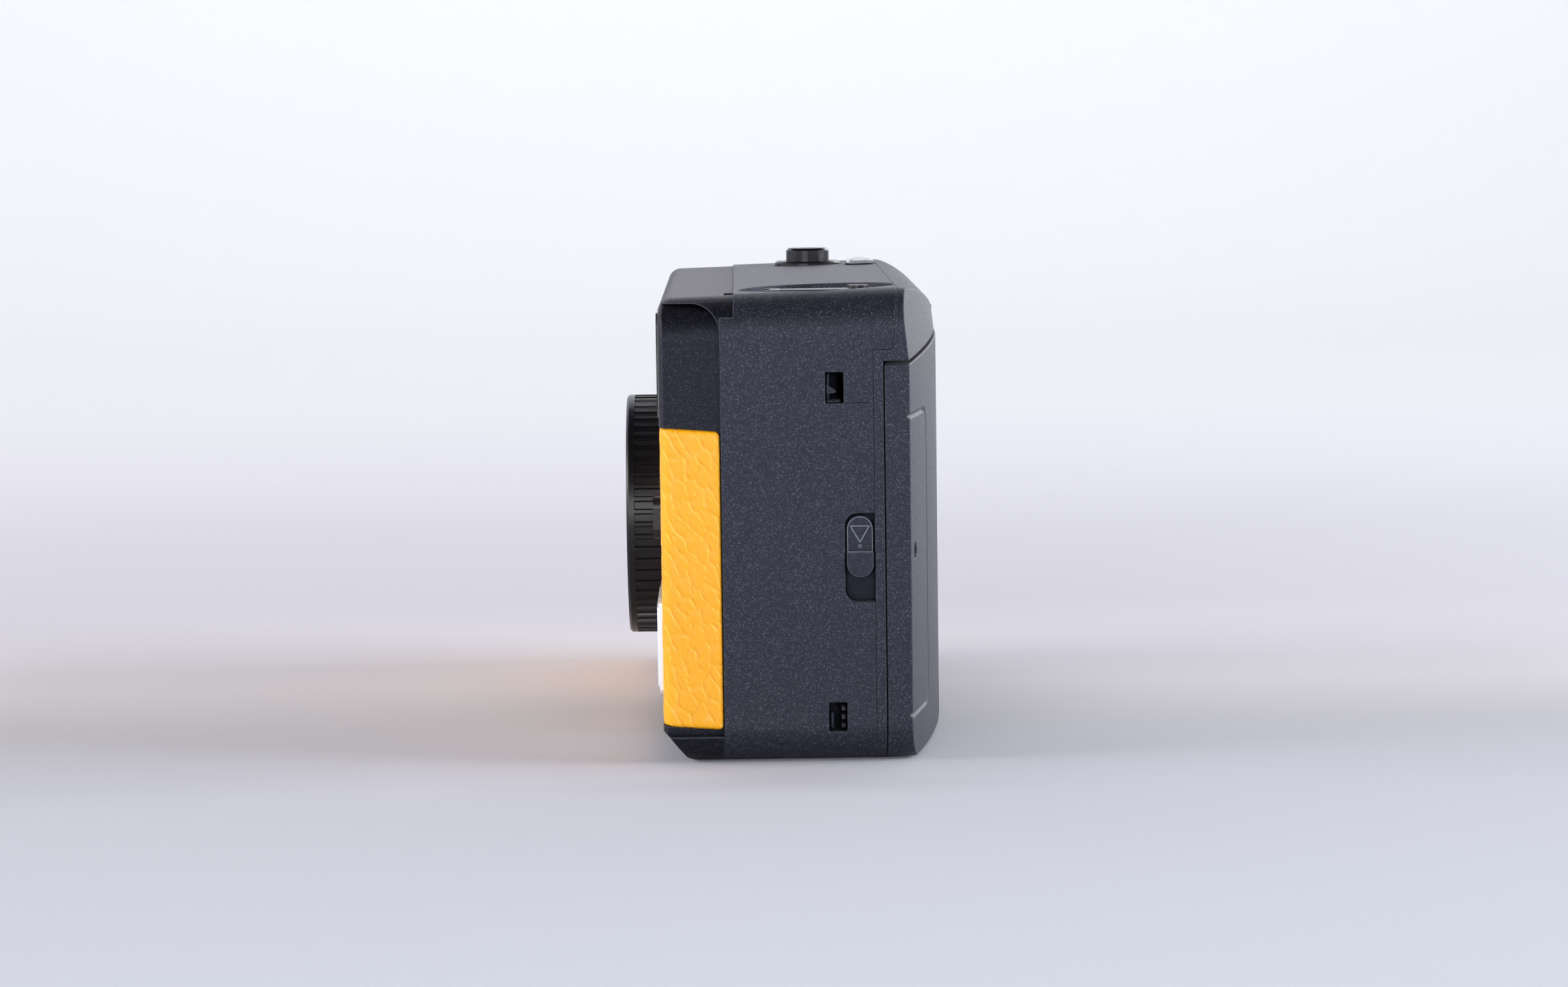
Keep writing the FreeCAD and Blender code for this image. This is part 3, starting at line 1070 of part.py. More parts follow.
eyepiece_outer = plate("eyepiece_outer", "XZ", (f"-({FINDER_SIDE}) + 0.1", f"{FINDER_SIDE} - 0.1"),
                       (LEDGE_TOP, "finder_top"), (TUBE_BACK, f"{BACK} - 0.6"), "1.2")
eyepiece_bore = plate("eyepiece_bore", "XZ", (f"-({FINDER_SIDE}) + 1.6", f"{FINDER_SIDE} - 1.6"),
                      (f"{LEDGE_TOP} + 0.9", "finder_top - 0.9"), (f"{BACK} - 1.6", BACK), "0.8")
finish("viewfinder_eyepiece", cut("eyepiece_cut", eyepiece_outer, eyepiece_bore))
finish("ready_lamp", rod("ready_lamp_rod", "Y", ("lamp_x", "lamp_height"),
                         ("case_rear + 5", f"{BACK} - 1.2"),
                         "lamp_radius"))

# shutter_button, its collar and spring, and the release lever below
BUTTON_FLOOR = f"{INNER_TOP} + 0.9"
finish("button_collar", turned("button_collar_body", [
    ("button_stem_radius + running_gap", f"{INNER_TOP} - 0.2"),
    ("button_skirt_radius", f"{INNER_TOP} - 0.2"),
    ("button_skirt_radius", "top_height + 0.45"),
    ("button_skirt_radius - 0.4", "top_height + 0.75"),
    ("button_cap_radius + 0.35", "top_height + 0.75"),
    ("button_cap_radius + 0.1", f"{BUTTON_FLOOR}"),
    ("button_stem_radius + running_gap", BUTTON_FLOOR),
], ("button_x", "button_y", "0")))
finish("shutter_button", turned("shutter_button_body", [
    ("0", f"{INNER_TOP} - 1.1"),
    ("button_stem_radius", f"{INNER_TOP} - 1.1"),
    ("button_stem_radius", f"{BUTTON_FLOOR} + button_travel + 0.1"),
    ("button_cap_radius", f"{BUTTON_FLOOR} + button_travel + 0.1"),
    ("button_cap_radius", "button_top - 0.5"),
    ("button_cap_radius - 0.4", "button_top - 0.1"),
    ("button_cap_radius * 0.6", "button_top - 0.15"),
    ("0", "button_top - 0.35"),
], ("button_x", "button_y", "0")))
finish("button_spring", turned("button_spring_body", [
    ("button_stem_radius + 0.15", BUTTON_FLOOR),
    ("button_stem_radius + 0.75", BUTTON_FLOOR),
    ("button_stem_radius + 0.75", f"{BUTTON_FLOOR} + button_travel + 0.1"),
    ("button_stem_radius + 0.15", f"{BUTTON_FLOOR} + button_travel + 0.1"),
], ("button_x", "button_y", "0")))

# rewind crank: collar, shaft with fork, disc, folding lever, pin and knob
CASSETTE = ("cassette_x", "cassette_y")
CRANK_TOP = f"{CRANK_FLOOR} + 0.15 + crank_disc_thickness"
finish("rewind_collar", turned("rewind_collar_body", [
    ("rewind_shaft_radius + running_gap", "chamber_ceiling + 0.1"),
    ("rewind_collar_radius", "chamber_ceiling + 0.1"),
    ("rewind_collar_radius", CRANK_FLOOR),
    ("rewind_shaft_radius + running_gap", CRANK_FLOOR),
], ("cassette_x", "cassette_y", "0")))
fork_shaft = rod("fork_shaft", "Z", CASSETTE, ("chamber_ceiling - 1.4", f"{CRANK_FLOOR} + 0.5"),
                 "rewind_shaft_radius")
fork_flange = rod("fork_flange", "Z", CASSETTE, ("chamber_ceiling - 1.4", "chamber_ceiling - 0.1"), "3.2")
fork_blades = [box(f"fork_blade_{label}", (f"cassette_x + {low}", f"cassette_x + {high}"),
                   ("cassette_y - 0.7", "cassette_y + 0.7"),
                   ("chamber_ceiling - 5.6", "chamber_ceiling - 1.2"))
               for label, low, high in (("left", "0.9", "2.3"), ("right", "-2.3", "-0.9"))]
crank_disc = rod("crank_disc", "Z", CASSETTE, (f"{CRANK_FLOOR} + 0.15", CRANK_TOP), "crank_disc_radius")
LEVER_PIVOT_Y = "cassette_y - 6.2"
LEVER_PIVOT_Z = f"{CRANK_TOP} + 0.7"
ears = [box(f"crank_ear_{label}", (f"cassette_x + {low}", f"cassette_x + {high}"),
            (f"{LEVER_PIVOT_Y} - 1.1", f"{LEVER_PIVOT_Y} + 1.1"),
            (f"{CRANK_TOP} - 0.2", f"{CRANK_TOP} + 1.3"))
        for label, low, high in (("left", "2.3", "3.6"), ("right", "-3.6", "-2.3"))]
ear_bore = rod("ear_bore", "X", (LEVER_PIVOT_Y, LEVER_PIVOT_Z), ("cassette_x - 4", "cassette_x + 4"),
               "lever_pin_radius")
knob_well = rod("knob_well", "Z", ("cassette_x", "cassette_y + knob_offset"),
                (f"{CRANK_TOP} - 2.2", ABOVE), "3.2")
finish("rewind_hub", cut("rewind_hub_cut", fuse("rewind_hub_solid", fork_shaft, fork_flange, *fork_blades,
                                                crank_disc,
                                                *ears), ear_bore, knob_well))
finish("lever_pin", rod("lever_pin_rod", "X", (LEVER_PIVOT_Y, LEVER_PIVOT_Z),
                        ("cassette_x - 3.6", "cassette_x + 3.6"),
                        "lever_pin_radius"))
LEVER_BOTTOM = f"{CRANK_TOP} + 0.1"
LEVER_TOP = f"{CRANK_TOP} + 1.3"
lever_arm = prism("lever_arm", "XY", [
    ("cassette_x - 2.2", LEVER_PIVOT_Y),
    ("cassette_x + 2.2", LEVER_PIVOT_Y),
    ("cassette_x + 2.8", "cassette_y + 5.5"),
    ("cassette_x + 2.8", "cassette_y + 9.2"),
    ("cassette_x - 2.8", "cassette_y + 9.2"),
    ("cassette_x - 2.8", "cassette_y + 5.5"),
], (LEVER_BOTTOM, LEVER_TOP), {"1.8": (3, 4)})
lever_knuckle = rod("lever_knuckle", "X", (LEVER_PIVOT_Y, LEVER_PIVOT_Z),
                    ("cassette_x - 2.2", "cassette_x + 2.2"), "0.6")
lever_bore = rod("lever_bore", "X", (LEVER_PIVOT_Y, LEVER_PIVOT_Z), ("cassette_x - 4", "cassette_x + 4"),
                 "lever_pin_radius + running_gap")
knob_hole = rod("knob_hole", "Z", ("cassette_x", "cassette_y + knob_offset"), (f"{CRANK_TOP} - 1", ABOVE),
                "1.0 + running_gap")
finish("rewind_lever", cut("rewind_lever_cut", fuse("lever_solid", lever_arm, lever_knuckle), knob_hole,
                           lever_bore))
finish("rewind_knob", turned("rewind_knob_body", [
    ("0", f"{CRANK_TOP} - 1.95"),
    ("1.9", f"{CRANK_TOP} - 1.95"),
    ("2.3", f"{CRANK_TOP} - 1.5"),
    ("2.3", CRANK_TOP),
    ("1.0", f"{CRANK_TOP} + 0.05"),
    ("1.0", f"{LEVER_TOP} + 0.1"),
    ("1.5", f"{LEVER_TOP} + 0.1"),
    ("1.5", f"{LEVER_TOP} + 0.5"),
    ("0", f"{LEVER_TOP} + 0.5"),
], ("cassette_x", "cassette_y + knob_offset", "0")))


def toothed(name, place, teeth, bottom, thickness, start):
    """A toothed disc: root cylinder plus straight-flanked teeth set evenly round it."""
    pitch = f"(gear_module * {teeth} / 2)"
    body = turned(name, [
        ("1", "0"),
        (f"{pitch} - gear_module * 1.05", "0"),
        (f"{pitch} - gear_module * 1.05", thickness),
        ("1", thickness),
    ], (place[0], place[1], bottom))
    half = "(gear_module * 3.1416 - tooth_backlash) / 4"
    sketch = outline(body, name + "_tooth_outline", "XY", [
        (f"{pitch} - gear_module * 1.2", f"-({half} + gear_module * 0.25)"),
        (f"{pitch}", f"-({half})"),
        (f"{pitch} + gear_module * 0.8", f"-({half}) / 2"),
        (f"{pitch} + gear_module * 0.8", f"({half}) / 2"),
        (f"{pitch}", f"{half}"),
        (f"{pitch} - gear_module * 1.2", f"{half} + gear_module * 0.25"),
    ])
    tooth = body.newObject("PartDesign::Pad", name + "_tooth")
    tooth.Profile = sketch
    bind(tooth, Length=thickness)
    document.recompute()
    around(body, tooth, teeth, name + "_teeth")
    body.Placement = FreeCAD.Placement(body.Placement.Base, FreeCAD.Rotation(FreeCAD.Vector(0, 0, 1), 0))
    bind(body, Placement__Rotation__Angle=start)
    return body


# thumbwheel: its toothed rim drives the take-up spool's gear; it turns on an upright axle
MESH_ANGLE = f"atan2(spool_y - ({WHEEL_Y}); spool_x - ({WHEEL_X}))"
wheel_rim = toothed("wheel_rim", (WHEEL_X, WHEEL_Y), "wheel_teeth", "wheel_bottom", "wheel_thickness",
                    MESH_ANGLE)
wheel_bore = rod("wheel_bore", "Z", (WHEEL_X, WHEEL_Y), ("wheel_bottom - 1",
                                                         "wheel_bottom + wheel_thickness + 1"),
                 "1.2 + running_gap")
finish("thumbwheel", cut("thumbwheel_cut", wheel_rim, wheel_bore))
finish("wheel_axle", rod("wheel_axle_rod", "Z", (WHEEL_X, WHEEL_Y),
                         ("jog_height", "wheel_bottom + wheel_thickness + 0.9"),
                         "1.2"))

# takeup_spool: core, two flanges, film slot and the gear that the thumbwheel drives
spool_core = rod("spool_core", "Z", ("spool_x", "spool_y"),
                 ("spool_floor - deck_thickness", "wheel_bottom + 0.1"), "2")
spool_drum = rod("spool_drum", "Z", ("spool_x", "spool_y"), ("spool_floor + 0.2", "chamber_ceiling - 0.2"),
                 "spool_core_radius")
spool_flanges = [rod(f"spool_flange_{label}", "Z", ("spool_x", "spool_y"), span, "spool_flange_radius")
                 for label, span in (("low", ("spool_floor + 0.2",
                                              "spool_floor + 0.2 + spool_flange_thickness")),
                                     ("high", ("chamber_ceiling - 0.2 - spool_flange_thickness",
                                               "chamber_ceiling - 0.2")))]
spool_slot = box("spool_slot", ("spool_x - 8", "spool_x + 8"), ("spool_y - 0.6", "spool_y + 0.6"),
                 ("lens_height - film_height / 2", "lens_height + film_height / 2"))
MATE_ANGLE = f"atan2(({WHEEL_Y}) - spool_y; ({WHEEL_X}) - spool_x) + 180 deg / spool_teeth"
spool_gear = toothed("spool_gear", ("spool_x", "spool_y"), "spool_teeth", "wheel_bottom",
                     "wheel_thickness", MATE_ANGLE)
spool_gear_core = rod("spool_gear_core", "Z", ("spool_x", "spool_y"),
                      ("wheel_bottom", "wheel_bottom + wheel_thickness"),
                      "1.5")
finish("takeup_spool", cut("takeup_spool_cut", fuse("spool_solid", spool_core, spool_drum, *spool_flanges,
                                                    spool_gear,
                                                    spool_gear_core), spool_slot))

# sprocket_wheel: two toothed rims on one shaft, which the film turns
def sprocket_rim(name, low):
    body = turned(name, [("0", "0"), ("sprocket_radius", "0"), ("sprocket_radius", "3"), ("0", "3")],
                  ("sprocket_x", "sprocket_y", low))
    sketch = outline(body, name + "_tooth_outline", "XY", [
        ("sprocket_radius - 0.4", "-0.7"), ("sprocket_radius + sprocket_tooth_height", "-0.4"),
        ("sprocket_radius + sprocket_tooth_height", "0.4"), ("sprocket_radius - 0.4", "0.7")], "0.6")
    tooth = body.newObject("PartDesign::Pad", name + "_tooth")
    tooth.Profile = sketch
    bind(tooth, Length="1.8")
    document.recompute()
    around(body, tooth, "sprocket_teeth", name + "_teeth")
    return body


FILM_BOTTOM = "lens_height - film_height / 2"
FILM_TOP = "lens_height + film_height / 2"
sprocket_shaft = rod("sprocket_shaft", "Z", ("sprocket_x", "sprocket_y"),
                     ("spool_floor - deck_thickness", "chamber_ceiling + deck_thickness"), "1.5")
sprocket_core = rod("sprocket_core", "Z", ("sprocket_x", "sprocket_y"),
                    ("spool_floor + 0.2", "chamber_ceiling - 0.2"),
                    "sprocket_radius - 1.6")
finish("sprocket_wheel", fuse("sprocket_solid", sprocket_shaft, sprocket_core,
                              sprocket_rim("sprocket_low", f"{FILM_BOTTOM} + 0.5"),
                              sprocket_rim("sprocket_high", f"{FILM_TOP} - 3.5")))

# counter_dial and its magnifying window
COUNTER_TOP = f"{INNER_TOP} - 0.25"
finish("counter_dial", turned("counter_dial_body", [
    ("counter_boss_radius + running_gap", f"{COUNTER_TOP} - 0.8"),
    ("counter_radius", f"{COUNTER_TOP} - 0.8"),
    ("counter_radius", COUNTER_TOP),
    ("counter_boss_radius + running_gap", COUNTER_TOP),
], ("counter_x", "counter_y - counter_offset", "0")))
window_form = plate("window_form", "XY", ("counter_x - 4.1", "counter_x + 4.1"),
                    ("counter_y - 0.4", "counter_y + 4.0"),
                    (f"{INNER_TOP} + 0.2", f"{INNER_TOP} + 10"), "1.1")
window_dome = rod("window_dome", "X", ("counter_y + 1.8", "top_height + 1.3 - 6"),
                  ("counter_x - 5", "counter_x + 5"), "6")
finish("counter_window", common("counter_window_lens", window_form, window_dome))

# door_latch: the side slider with its stepped pill, and its spring
LATCH_Y = "(latch_slot_front + case_rear) / 2"
pill_upper = plate("pill_upper", "YZ", (f"{LATCH_Y} - latch_pill_width / 2",
                                        f"{LATCH_Y} + latch_pill_width / 2"),
                   ("latch_pill_bottom", "latch_pill_top"), (f"{SIDE} - wall - 0.1", f"{SIDE} - 0.7"),
                   "latch_pill_width / 2 - 0.02")
pill_lower = plate("pill_lower", "YZ", (f"{LATCH_Y} - latch_pill_width / 2",
                                        f"{LATCH_Y} + latch_pill_width / 2"),
                   ("latch_pill_bottom", "latch_pill_top"), (f"{SIDE} - 0.9", f"{SIDE} + 0.2"),
                   "latch_pill_width / 2 - 0.02")
pill_trim = box("pill_trim", (f"{SIDE} - 0.7", f"{SIDE} + 1"), ("latch_slot_front", "case_rear + 1"),
                ("latch_pill_bottom + latch_step_height", "latch_pill_top + 1"))
latch_bar = box("latch_bar", (f"{LATCH_INNER} + 0.15", f"{SIDE} - wall - 0.06"),
                ("latch_slot_front - 0.2", "case_rear - 0.1"),
                ("latch_slot_bottom - 0.5", "latch_pill_top + 0.6"))
latch_nose = box("latch_nose", (f"{LATCH_INNER} + 0.15", f"{SIDE} - wall - 0.1"),
                 ("case_rear - 0.5", f"{RIM_BACK} - 0.1"),
                 ("latch_height - 1.9", "latch_height + 1.5"))
finish("door_latch", fuse("latch_piece", pill_upper, cut("pill_raised", pill_lower, pill_trim), latch_bar,
                          latch_nose))
finish("latch_spring", box("latch_spring_leaf", (f"{LATCH_INNER} + 0.4", f"{LATCH_INNER} + 1.2"),
                           (f"{LATCH_Y} - 0.9", f"{LATCH_Y} + 0.9"),
                           ("latch_slot_bottom - latch_travel - 5", "latch_slot_bottom - 0.5")))

# release_lever: carries the button's stroke forward to the shutter; it tilts on a pin in a post
LEVER_PIN_X = "button_x + lever_reach"
LEVER_PIN_Z = f"{INNER_TOP} - 1.7"
lever_strip = prism("lever_strip", "XY", [
    ("button_x - 1.4", "button_y - 1.5"),
    ("button_x + 1.4", "button_y - 1.5"),
    (f"{LEVER_PIN_X} - 4", "-2.4"),
    (f"{LEVER_PIN_X} + 4", "-2.4"),
    (f"{LEVER_PIN_X} + 6.6", "-12.4"),
    (f"{LEVER_PIN_X} + 8.4", "-12.4"),
    (f"{LEVER_PIN_X} + 8.4", "-9"),
    (f"{LEVER_PIN_X} + 5", "0.2"),
    (f"{LEVER_PIN_X} - 3.4", "0.2"),
    ("button_x + 1.4", "button_y + 1.5"),
    ("button_x - 1.4", "button_y + 1.5"),
], (f"{LEVER_PIN_Z} - 0.4", f"{LEVER_PIN_Z} + 0.4"))
lever_boss = rod("lever_boss", "Y", (LEVER_PIN_X, LEVER_PIN_Z), ("-2.4", "0.2"), "1.0")
lever_finger = box("lever_finger", (f"{LEVER_PIN_X} + 6.6", f"{LEVER_PIN_X} + 8.2"), ("-12.4", "-10.8"),
                   ("lens_height + 14.4", LEVER_PIN_Z))
lever_pin_bore = rod("lever_pin_bore", "Y", (LEVER_PIN_X, LEVER_PIN_Z), ("-3", "1"), "0.5 + running_gap")
finish("release_lever", cut("release_lever_cut", fuse("release_lever_solid", lever_strip, lever_boss,
                                                      lever_finger),
                            lever_pin_bore))
finish("lever_pivot", rod("lever_pivot_rod", "Y", (LEVER_PIN_X, LEVER_PIN_Z), ("-2.7", "2.2"), "0.5"))

# battery_holder, its sprung contact and its hinged door in the base
BATTERY = ("battery_x", "battery_y")
HOLDER_BOTTOM = "battery_door_thickness + 0.45"
HOLDER_TOP = f"{HOLDER_BOTTOM} + battery_length + 1.6"
holder_tube = rod("holder_tube", "Z", BATTERY, (HOLDER_BOTTOM, f"{HOLDER_TOP} + battery_wall"),
                  "battery_bore_radius + battery_wall")
holder_space = box("holder_space", ("battery_x - 8", "battery_x + 8"), (f"{INNER_FRONT} + part_gap", "4"),
                   ("0", f"{HOLDER_TOP} + 4"))
holder_bore = rod("holder_bore", "Z", BATTERY, ("0", HOLDER_TOP), "battery_bore_radius")
finish("battery_holder", cut("battery_holder_cut", common("holder_body", holder_tube, holder_space),
                             holder_bore))
finish("top_contact", rod("top_contact_disc", "Z", BATTERY, (f"{HOLDER_TOP} - 0.4", HOLDER_TOP), "3.0"))
DOOR_REAR = "battery_y + battery_door_rear - battery_door_gap"
HATCH_SIDE = "battery_door_half_width - battery_door_gap"
HATCH_TOP = "battery_door_recess + battery_door_thickness"
HATCH_MIDDLE = "battery_door_recess + battery_door_thickness / 2"
HATCH_PIVOT_Y = f"{DOOR_REAR} - battery_door_thickness / 2"
hatch_plate = prism("hatch_plate", "XY", [
    (f"battery_x - ({HATCH_SIDE})", "battery_y - battery_door_front + battery_door_gap"),
    (f"battery_x + {HATCH_SIDE}", "battery_y - battery_door_front + battery_door_gap"),
    (f"battery_x + {HATCH_SIDE}", HATCH_PIVOT_Y),
    (f"battery_x - ({HATCH_SIDE})", HATCH_PIVOT_Y),
], ("battery_door_recess", HATCH_TOP), {"front_edge_radius / 2": (0, 1)})
hatch_barrel = rod("hatch_barrel", "X", (HATCH_PIVOT_Y, HATCH_MIDDLE),
                   ("battery_x - battery_door_half_width + 1.3",
                    "battery_x + battery_door_half_width - 1.3"),
                   "battery_door_thickness / 2")
finish("battery_door", fuse("battery_door_solid", hatch_plate, hatch_barrel))
finish("battery_contact", rod("battery_contact_disc", "Z", BATTERY,
                              (HATCH_TOP, f"{HATCH_TOP} + 0.35"), "3.6"))

# release_button in the base, with its spring: pressed to free the sprocket for rewinding
SPROCKET = ("sprocket_x", "sprocket_y")
finish("release_button", turned("release_button_body", [
    ("0", "0.35"),
    ("release_radius - 0.4", "0.35"),
    ("release_radius", "0.7"),
    ("release_radius", "wall + 0.05"),
    ("release_flange_radius", "wall + 0.05"),
    ("release_flange_radius", "wall + 0.85"),
    ("0", "wall + 0.85"),
], (*SPROCKET, "0")))
finish("release_spring", turned("release_spring_body", [
    ("1.4", "wall + 0.85"),
    ("2.0", "wall + 0.85"),
    ("2.0", "spool_floor - deck_thickness"),
    ("1.4", "spool_floor - deck_thickness"),
], (*SPROCKET, "0")))

# strap_bar: the steel bar across the recess in the holder's right end
finish("strap_bar", rod("strap_bar_rod", "Z", STRAP_BAR_PLACE, STRAP_BAR_SPAN, "strap_bar_radius"))

document.recompute()
for thing in document.Objects:
    if "Invalid" in thing.State or "Error" in thing.State:
        raise RuntimeError(f"{thing.Name} failed: {thing.State}")
os.makedirs("parts", exist_ok=True)
for name, thing in PARTS.items():
    shape = thing.Shape
    if shape.isNull() or not shape.isValid():
        raise RuntimeError(f"{name} has no valid shape")
    shape.exportStep(f"parts/{name}.step")
    print(name, len(shape.Solids), round(shape.Volume, 1))
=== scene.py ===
import math

import bmesh
import bpy
import numpy as np
from mathutils import Euler, Matrix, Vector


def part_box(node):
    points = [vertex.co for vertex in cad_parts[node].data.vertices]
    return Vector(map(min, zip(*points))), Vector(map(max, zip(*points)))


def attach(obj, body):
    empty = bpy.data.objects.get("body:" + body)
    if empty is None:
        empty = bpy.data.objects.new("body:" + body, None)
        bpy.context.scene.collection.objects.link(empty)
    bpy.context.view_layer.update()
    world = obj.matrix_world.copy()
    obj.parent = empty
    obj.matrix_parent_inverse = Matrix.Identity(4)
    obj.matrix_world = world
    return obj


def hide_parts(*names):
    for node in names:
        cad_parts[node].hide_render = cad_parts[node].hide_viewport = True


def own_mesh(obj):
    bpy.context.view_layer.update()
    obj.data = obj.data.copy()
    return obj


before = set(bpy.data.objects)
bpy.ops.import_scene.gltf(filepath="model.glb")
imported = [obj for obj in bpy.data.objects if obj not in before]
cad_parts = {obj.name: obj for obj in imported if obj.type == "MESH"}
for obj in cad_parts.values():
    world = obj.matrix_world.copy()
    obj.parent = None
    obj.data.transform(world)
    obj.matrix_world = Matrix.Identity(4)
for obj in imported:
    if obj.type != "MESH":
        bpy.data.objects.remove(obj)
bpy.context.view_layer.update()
MM = 0.001


# Studio sweep and lights
# A roll of pale grey paper runs from under the camera up behind it in one soft curve.
# The paper is matt. Its colour is painted from near white at the top to a cool light grey underfoot as
# painted light fall-off, with a paler band beside the part that lightens its cast shadow.
def linear(hex_colour):
    """sRGB hex to linear RGBA: divide by 12.92 near black, otherwise the 2.4 power curve."""
    channels = [int(hex_colour[i:i + 2], 16) / 255 for i in (1, 3, 5)]
    return [c / 12.92 if c <= 0.04045 else ((c + 0.055) / 1.055) ** 2.4 for c in channels] + [1.0]


def add(tree, kind, settings=None, **links):
    """Adds a node. Settings are its properties or socket values, links join other outputs to its sockets.

    A socket goes by its name, with underscores for spaces in a link, or by its place: 1 as a setting and
    n1 as a link.
    """
    node = tree.nodes.new("ShaderNode" + kind)
    for name, value in (settings or {}).items():
        if isinstance(name, int) or name in node.inputs:
            node.inputs[name].default_value = value
        else:
            setattr(node, name, value)
    for name, output in links.items():
        socket = int(name[1:]) if name[0] == "n" and name[1:].isdigit() else name.replace("_", " ")
        tree.links.new(output, node.inputs[socket])
    return node


def new_material(name, **shader_values):
    """A material with its shader's own sockets set; names use underscores for spaces."""
    material = bpy.data.materials.new(name)
    material.use_nodes = True
    shader = material.node_tree.nodes["Principled BSDF"]
    for socket, value in shader_values.items():
        shader.inputs[socket.replace("_", " ")].default_value = value
    return material, material.node_tree, shader


def grid_mesh(name, points, close_rows=False, close_columns=False):
    """A mesh from a rows by columns by 3 array of points, one quad between each four neighbours."""
    rows, columns = points.shape[:2]
    index = np.arange(rows * columns).reshape(rows, columns)
    if close_rows:
        index = np.vstack([index, index[:1]])
    if close_columns:
        index = np.hstack([index, index[:, :1]])
    quads = np.stack([index[:-1, :-1], index[:-1, 1:], index[1:, 1:], index[1:, :-1]], axis=-1)
    quads = quads.reshape(-1, 4)
    mesh = bpy.data.meshes.new(name)
    mesh.from_pydata(points.reshape(-1, 3).tolist(), [], quads.tolist())
    mesh.polygons.foreach_set("use_smooth", np.ones(len(quads), bool))
    thing = bpy.data.objects.new(name, mesh)
    bpy.context.scene.collection.objects.link(thing)
    return thing


def sweep_points(width, near, far, height, bend):
    """The floor runs from near to far, turns up in a quarter circle of radius bend, and rises to height."""
    angle = np.linspace(0, math.pi / 2, 25)
    along = np.concatenate([[near], far + bend - bend * np.sin(angle), [far]])
    up = np.concatenate([[0], bend - bend * np.cos(angle), [height]])
    x, y = np.meshgrid(along, np.linspace(-width / 2, width / 2, 9), indexing="ij")
    return np.stack([x, y, np.broadcast_to(up[:, None], x.shape)], axis=-1)


# Painted light along the roll: the place in mm from the camera's middle towards the wall, and the colour
# there.
PAPER_SHADES = ((-215, "#D0D4E0"), (-71, "#C5C7D3"), (-21, "#CBCAD1"), (23, "#D9D7DD"), (138, "#CCCBD6"),
                (265, "#CECED8"), (433, "#D9D9E2"), (667, "#E0E1E6"), (1013, "#E4E5EA"), (1808, "#E6E7EA"))
PAPER_START = PAPER_SHADES[0][0]
PAPER_REACH = 2130.0
# Uncoated paper has no gloss, so only its shades show.
paper, paper_tree, paper_shader = new_material("matt_paper_roll", Roughness=0.95, Specular_IOR_Level=0.0)
paper_place = add(paper_tree, "TexCoord")
paper_axes = add(paper_tree, "SeparateXYZ", Vector=paper_place.outputs["Object"])
paper_fall = add(paper_tree, "MapRange",
                 {"From Min": -PAPER_START * MM, "From Max": -(PAPER_START + PAPER_REACH) * MM},
                 Value=paper_axes.outputs["X"])
paper_shade = add(paper_tree, "ValToRGB", Fac=paper_fall.outputs["Result"])
paper_ramp = paper_shade.color_ramp
for number, (place, colour) in enumerate(PAPER_SHADES):
    along = (place - PAPER_START) / PAPER_REACH
    stop = paper_ramp.elements[number] if number < 2 else paper_ramp.elements.new(along)
    stop.position = along
    stop.color = linear(colour)
paper_tree.links.new(paper_shade.outputs["Color"], paper_shader.inputs["Base Color"])
sweep = grid_mesh("paper_sweep", sweep_points(width=6.0, near=1.6, far=-2.2, height=2.6, bend=1.2))
sweep.data.materials.append(paper)

# The room is bright round the horizon and dim overhead, so rounded top edges stay dark.
# Both heights are sines of the angle above the horizon.
AIR_BRIGHT_BELOW, AIR_DIM_ABOVE = 0.02, 0.55
world = bpy.data.worlds.new("studio_air")
world.use_nodes = True
air = world.node_tree
air_place = add(air, "TexCoord")
air_axes = add(air, "SeparateXYZ", Vector=air_place.outputs["Generated"])
air_rise = add(air, "MapRange", {"From Min": AIR_BRIGHT_BELOW, "From Max": AIR_DIM_ABOVE},
               Value=air_axes.outputs["Z"])
air_shade = add(air, "ValToRGB", Fac=air_rise.outputs["Result"])
air_shade.color_ramp.elements[0].color = linear("#F1F3F8")
air_shade.color_ramp.elements[1].color = linear("#26272C")
air.links.new(air_shade.outputs["Color"], air.nodes["Background"].inputs["Color"])
air.nodes["Background"].inputs["Strength"].default_value = 2.3
bpy.context.scene.world = world


def softbox(name, place, aim, size, watts, colour="#FFFFFF"):
    """A rectangular area light in metres and watts, turned so that its face looks at the aim point."""
    lamp = bpy.data.lights.new(name, "AREA")
    lamp.shape = "RECTANGLE"
    lamp.size, lamp.size_y = size
    lamp.energy = watts
    lamp.color = linear(colour)[:3]
    holder = bpy.data.objects.new(name, lamp)
    bpy.context.scene.collection.objects.link(holder)
    away = np.array(place, float) - np.array(aim, float)
    holder.location = place
    holder.rotation_euler = (math.atan2(math.hypot(away[0], away[1]), away[2]), 0,
                             math.atan2(away[0], -away[1]))
    return holder


# Three softboxes light the part: one beside the eye, one behind its back and a warm one at its lens.
softbox("camera_side_softbox", (1.0, -0.3, 0.24), (0.05, 0, 0.03), (0.5, 0.3), 3.3)
softbox("back_side_softbox", (0.1, 0.9, 0.35), (0, 0.02, 0.03), (0.6, 0.5), 9.5)
softbox("lens_side_softbox", (0.1, -1.0, 0.45), (0, -0.15, 0.0), (0.6, 0.5), 6.6, "#FFF6EC")
# The rim box only lays gloss along the part's back, and casts no light on the paper.
rim_box = softbox("rim_softbox", (-0.75, 0.42, 0.3), (0, 0.02, 0.04), (0.3, 0.5), 1.7)
rim_box.visible_camera = False
rim_box.visible_diffuse = False
# The backdrop box lights the wall of paper and is mirrored in nothing.
wall_box = softbox("backdrop_softbox", (-0.6, 0.0, 1.6), (-2.0, 0, 0.5), (1.6, 0.8), 20.0)
wall_box.visible_glossy = False

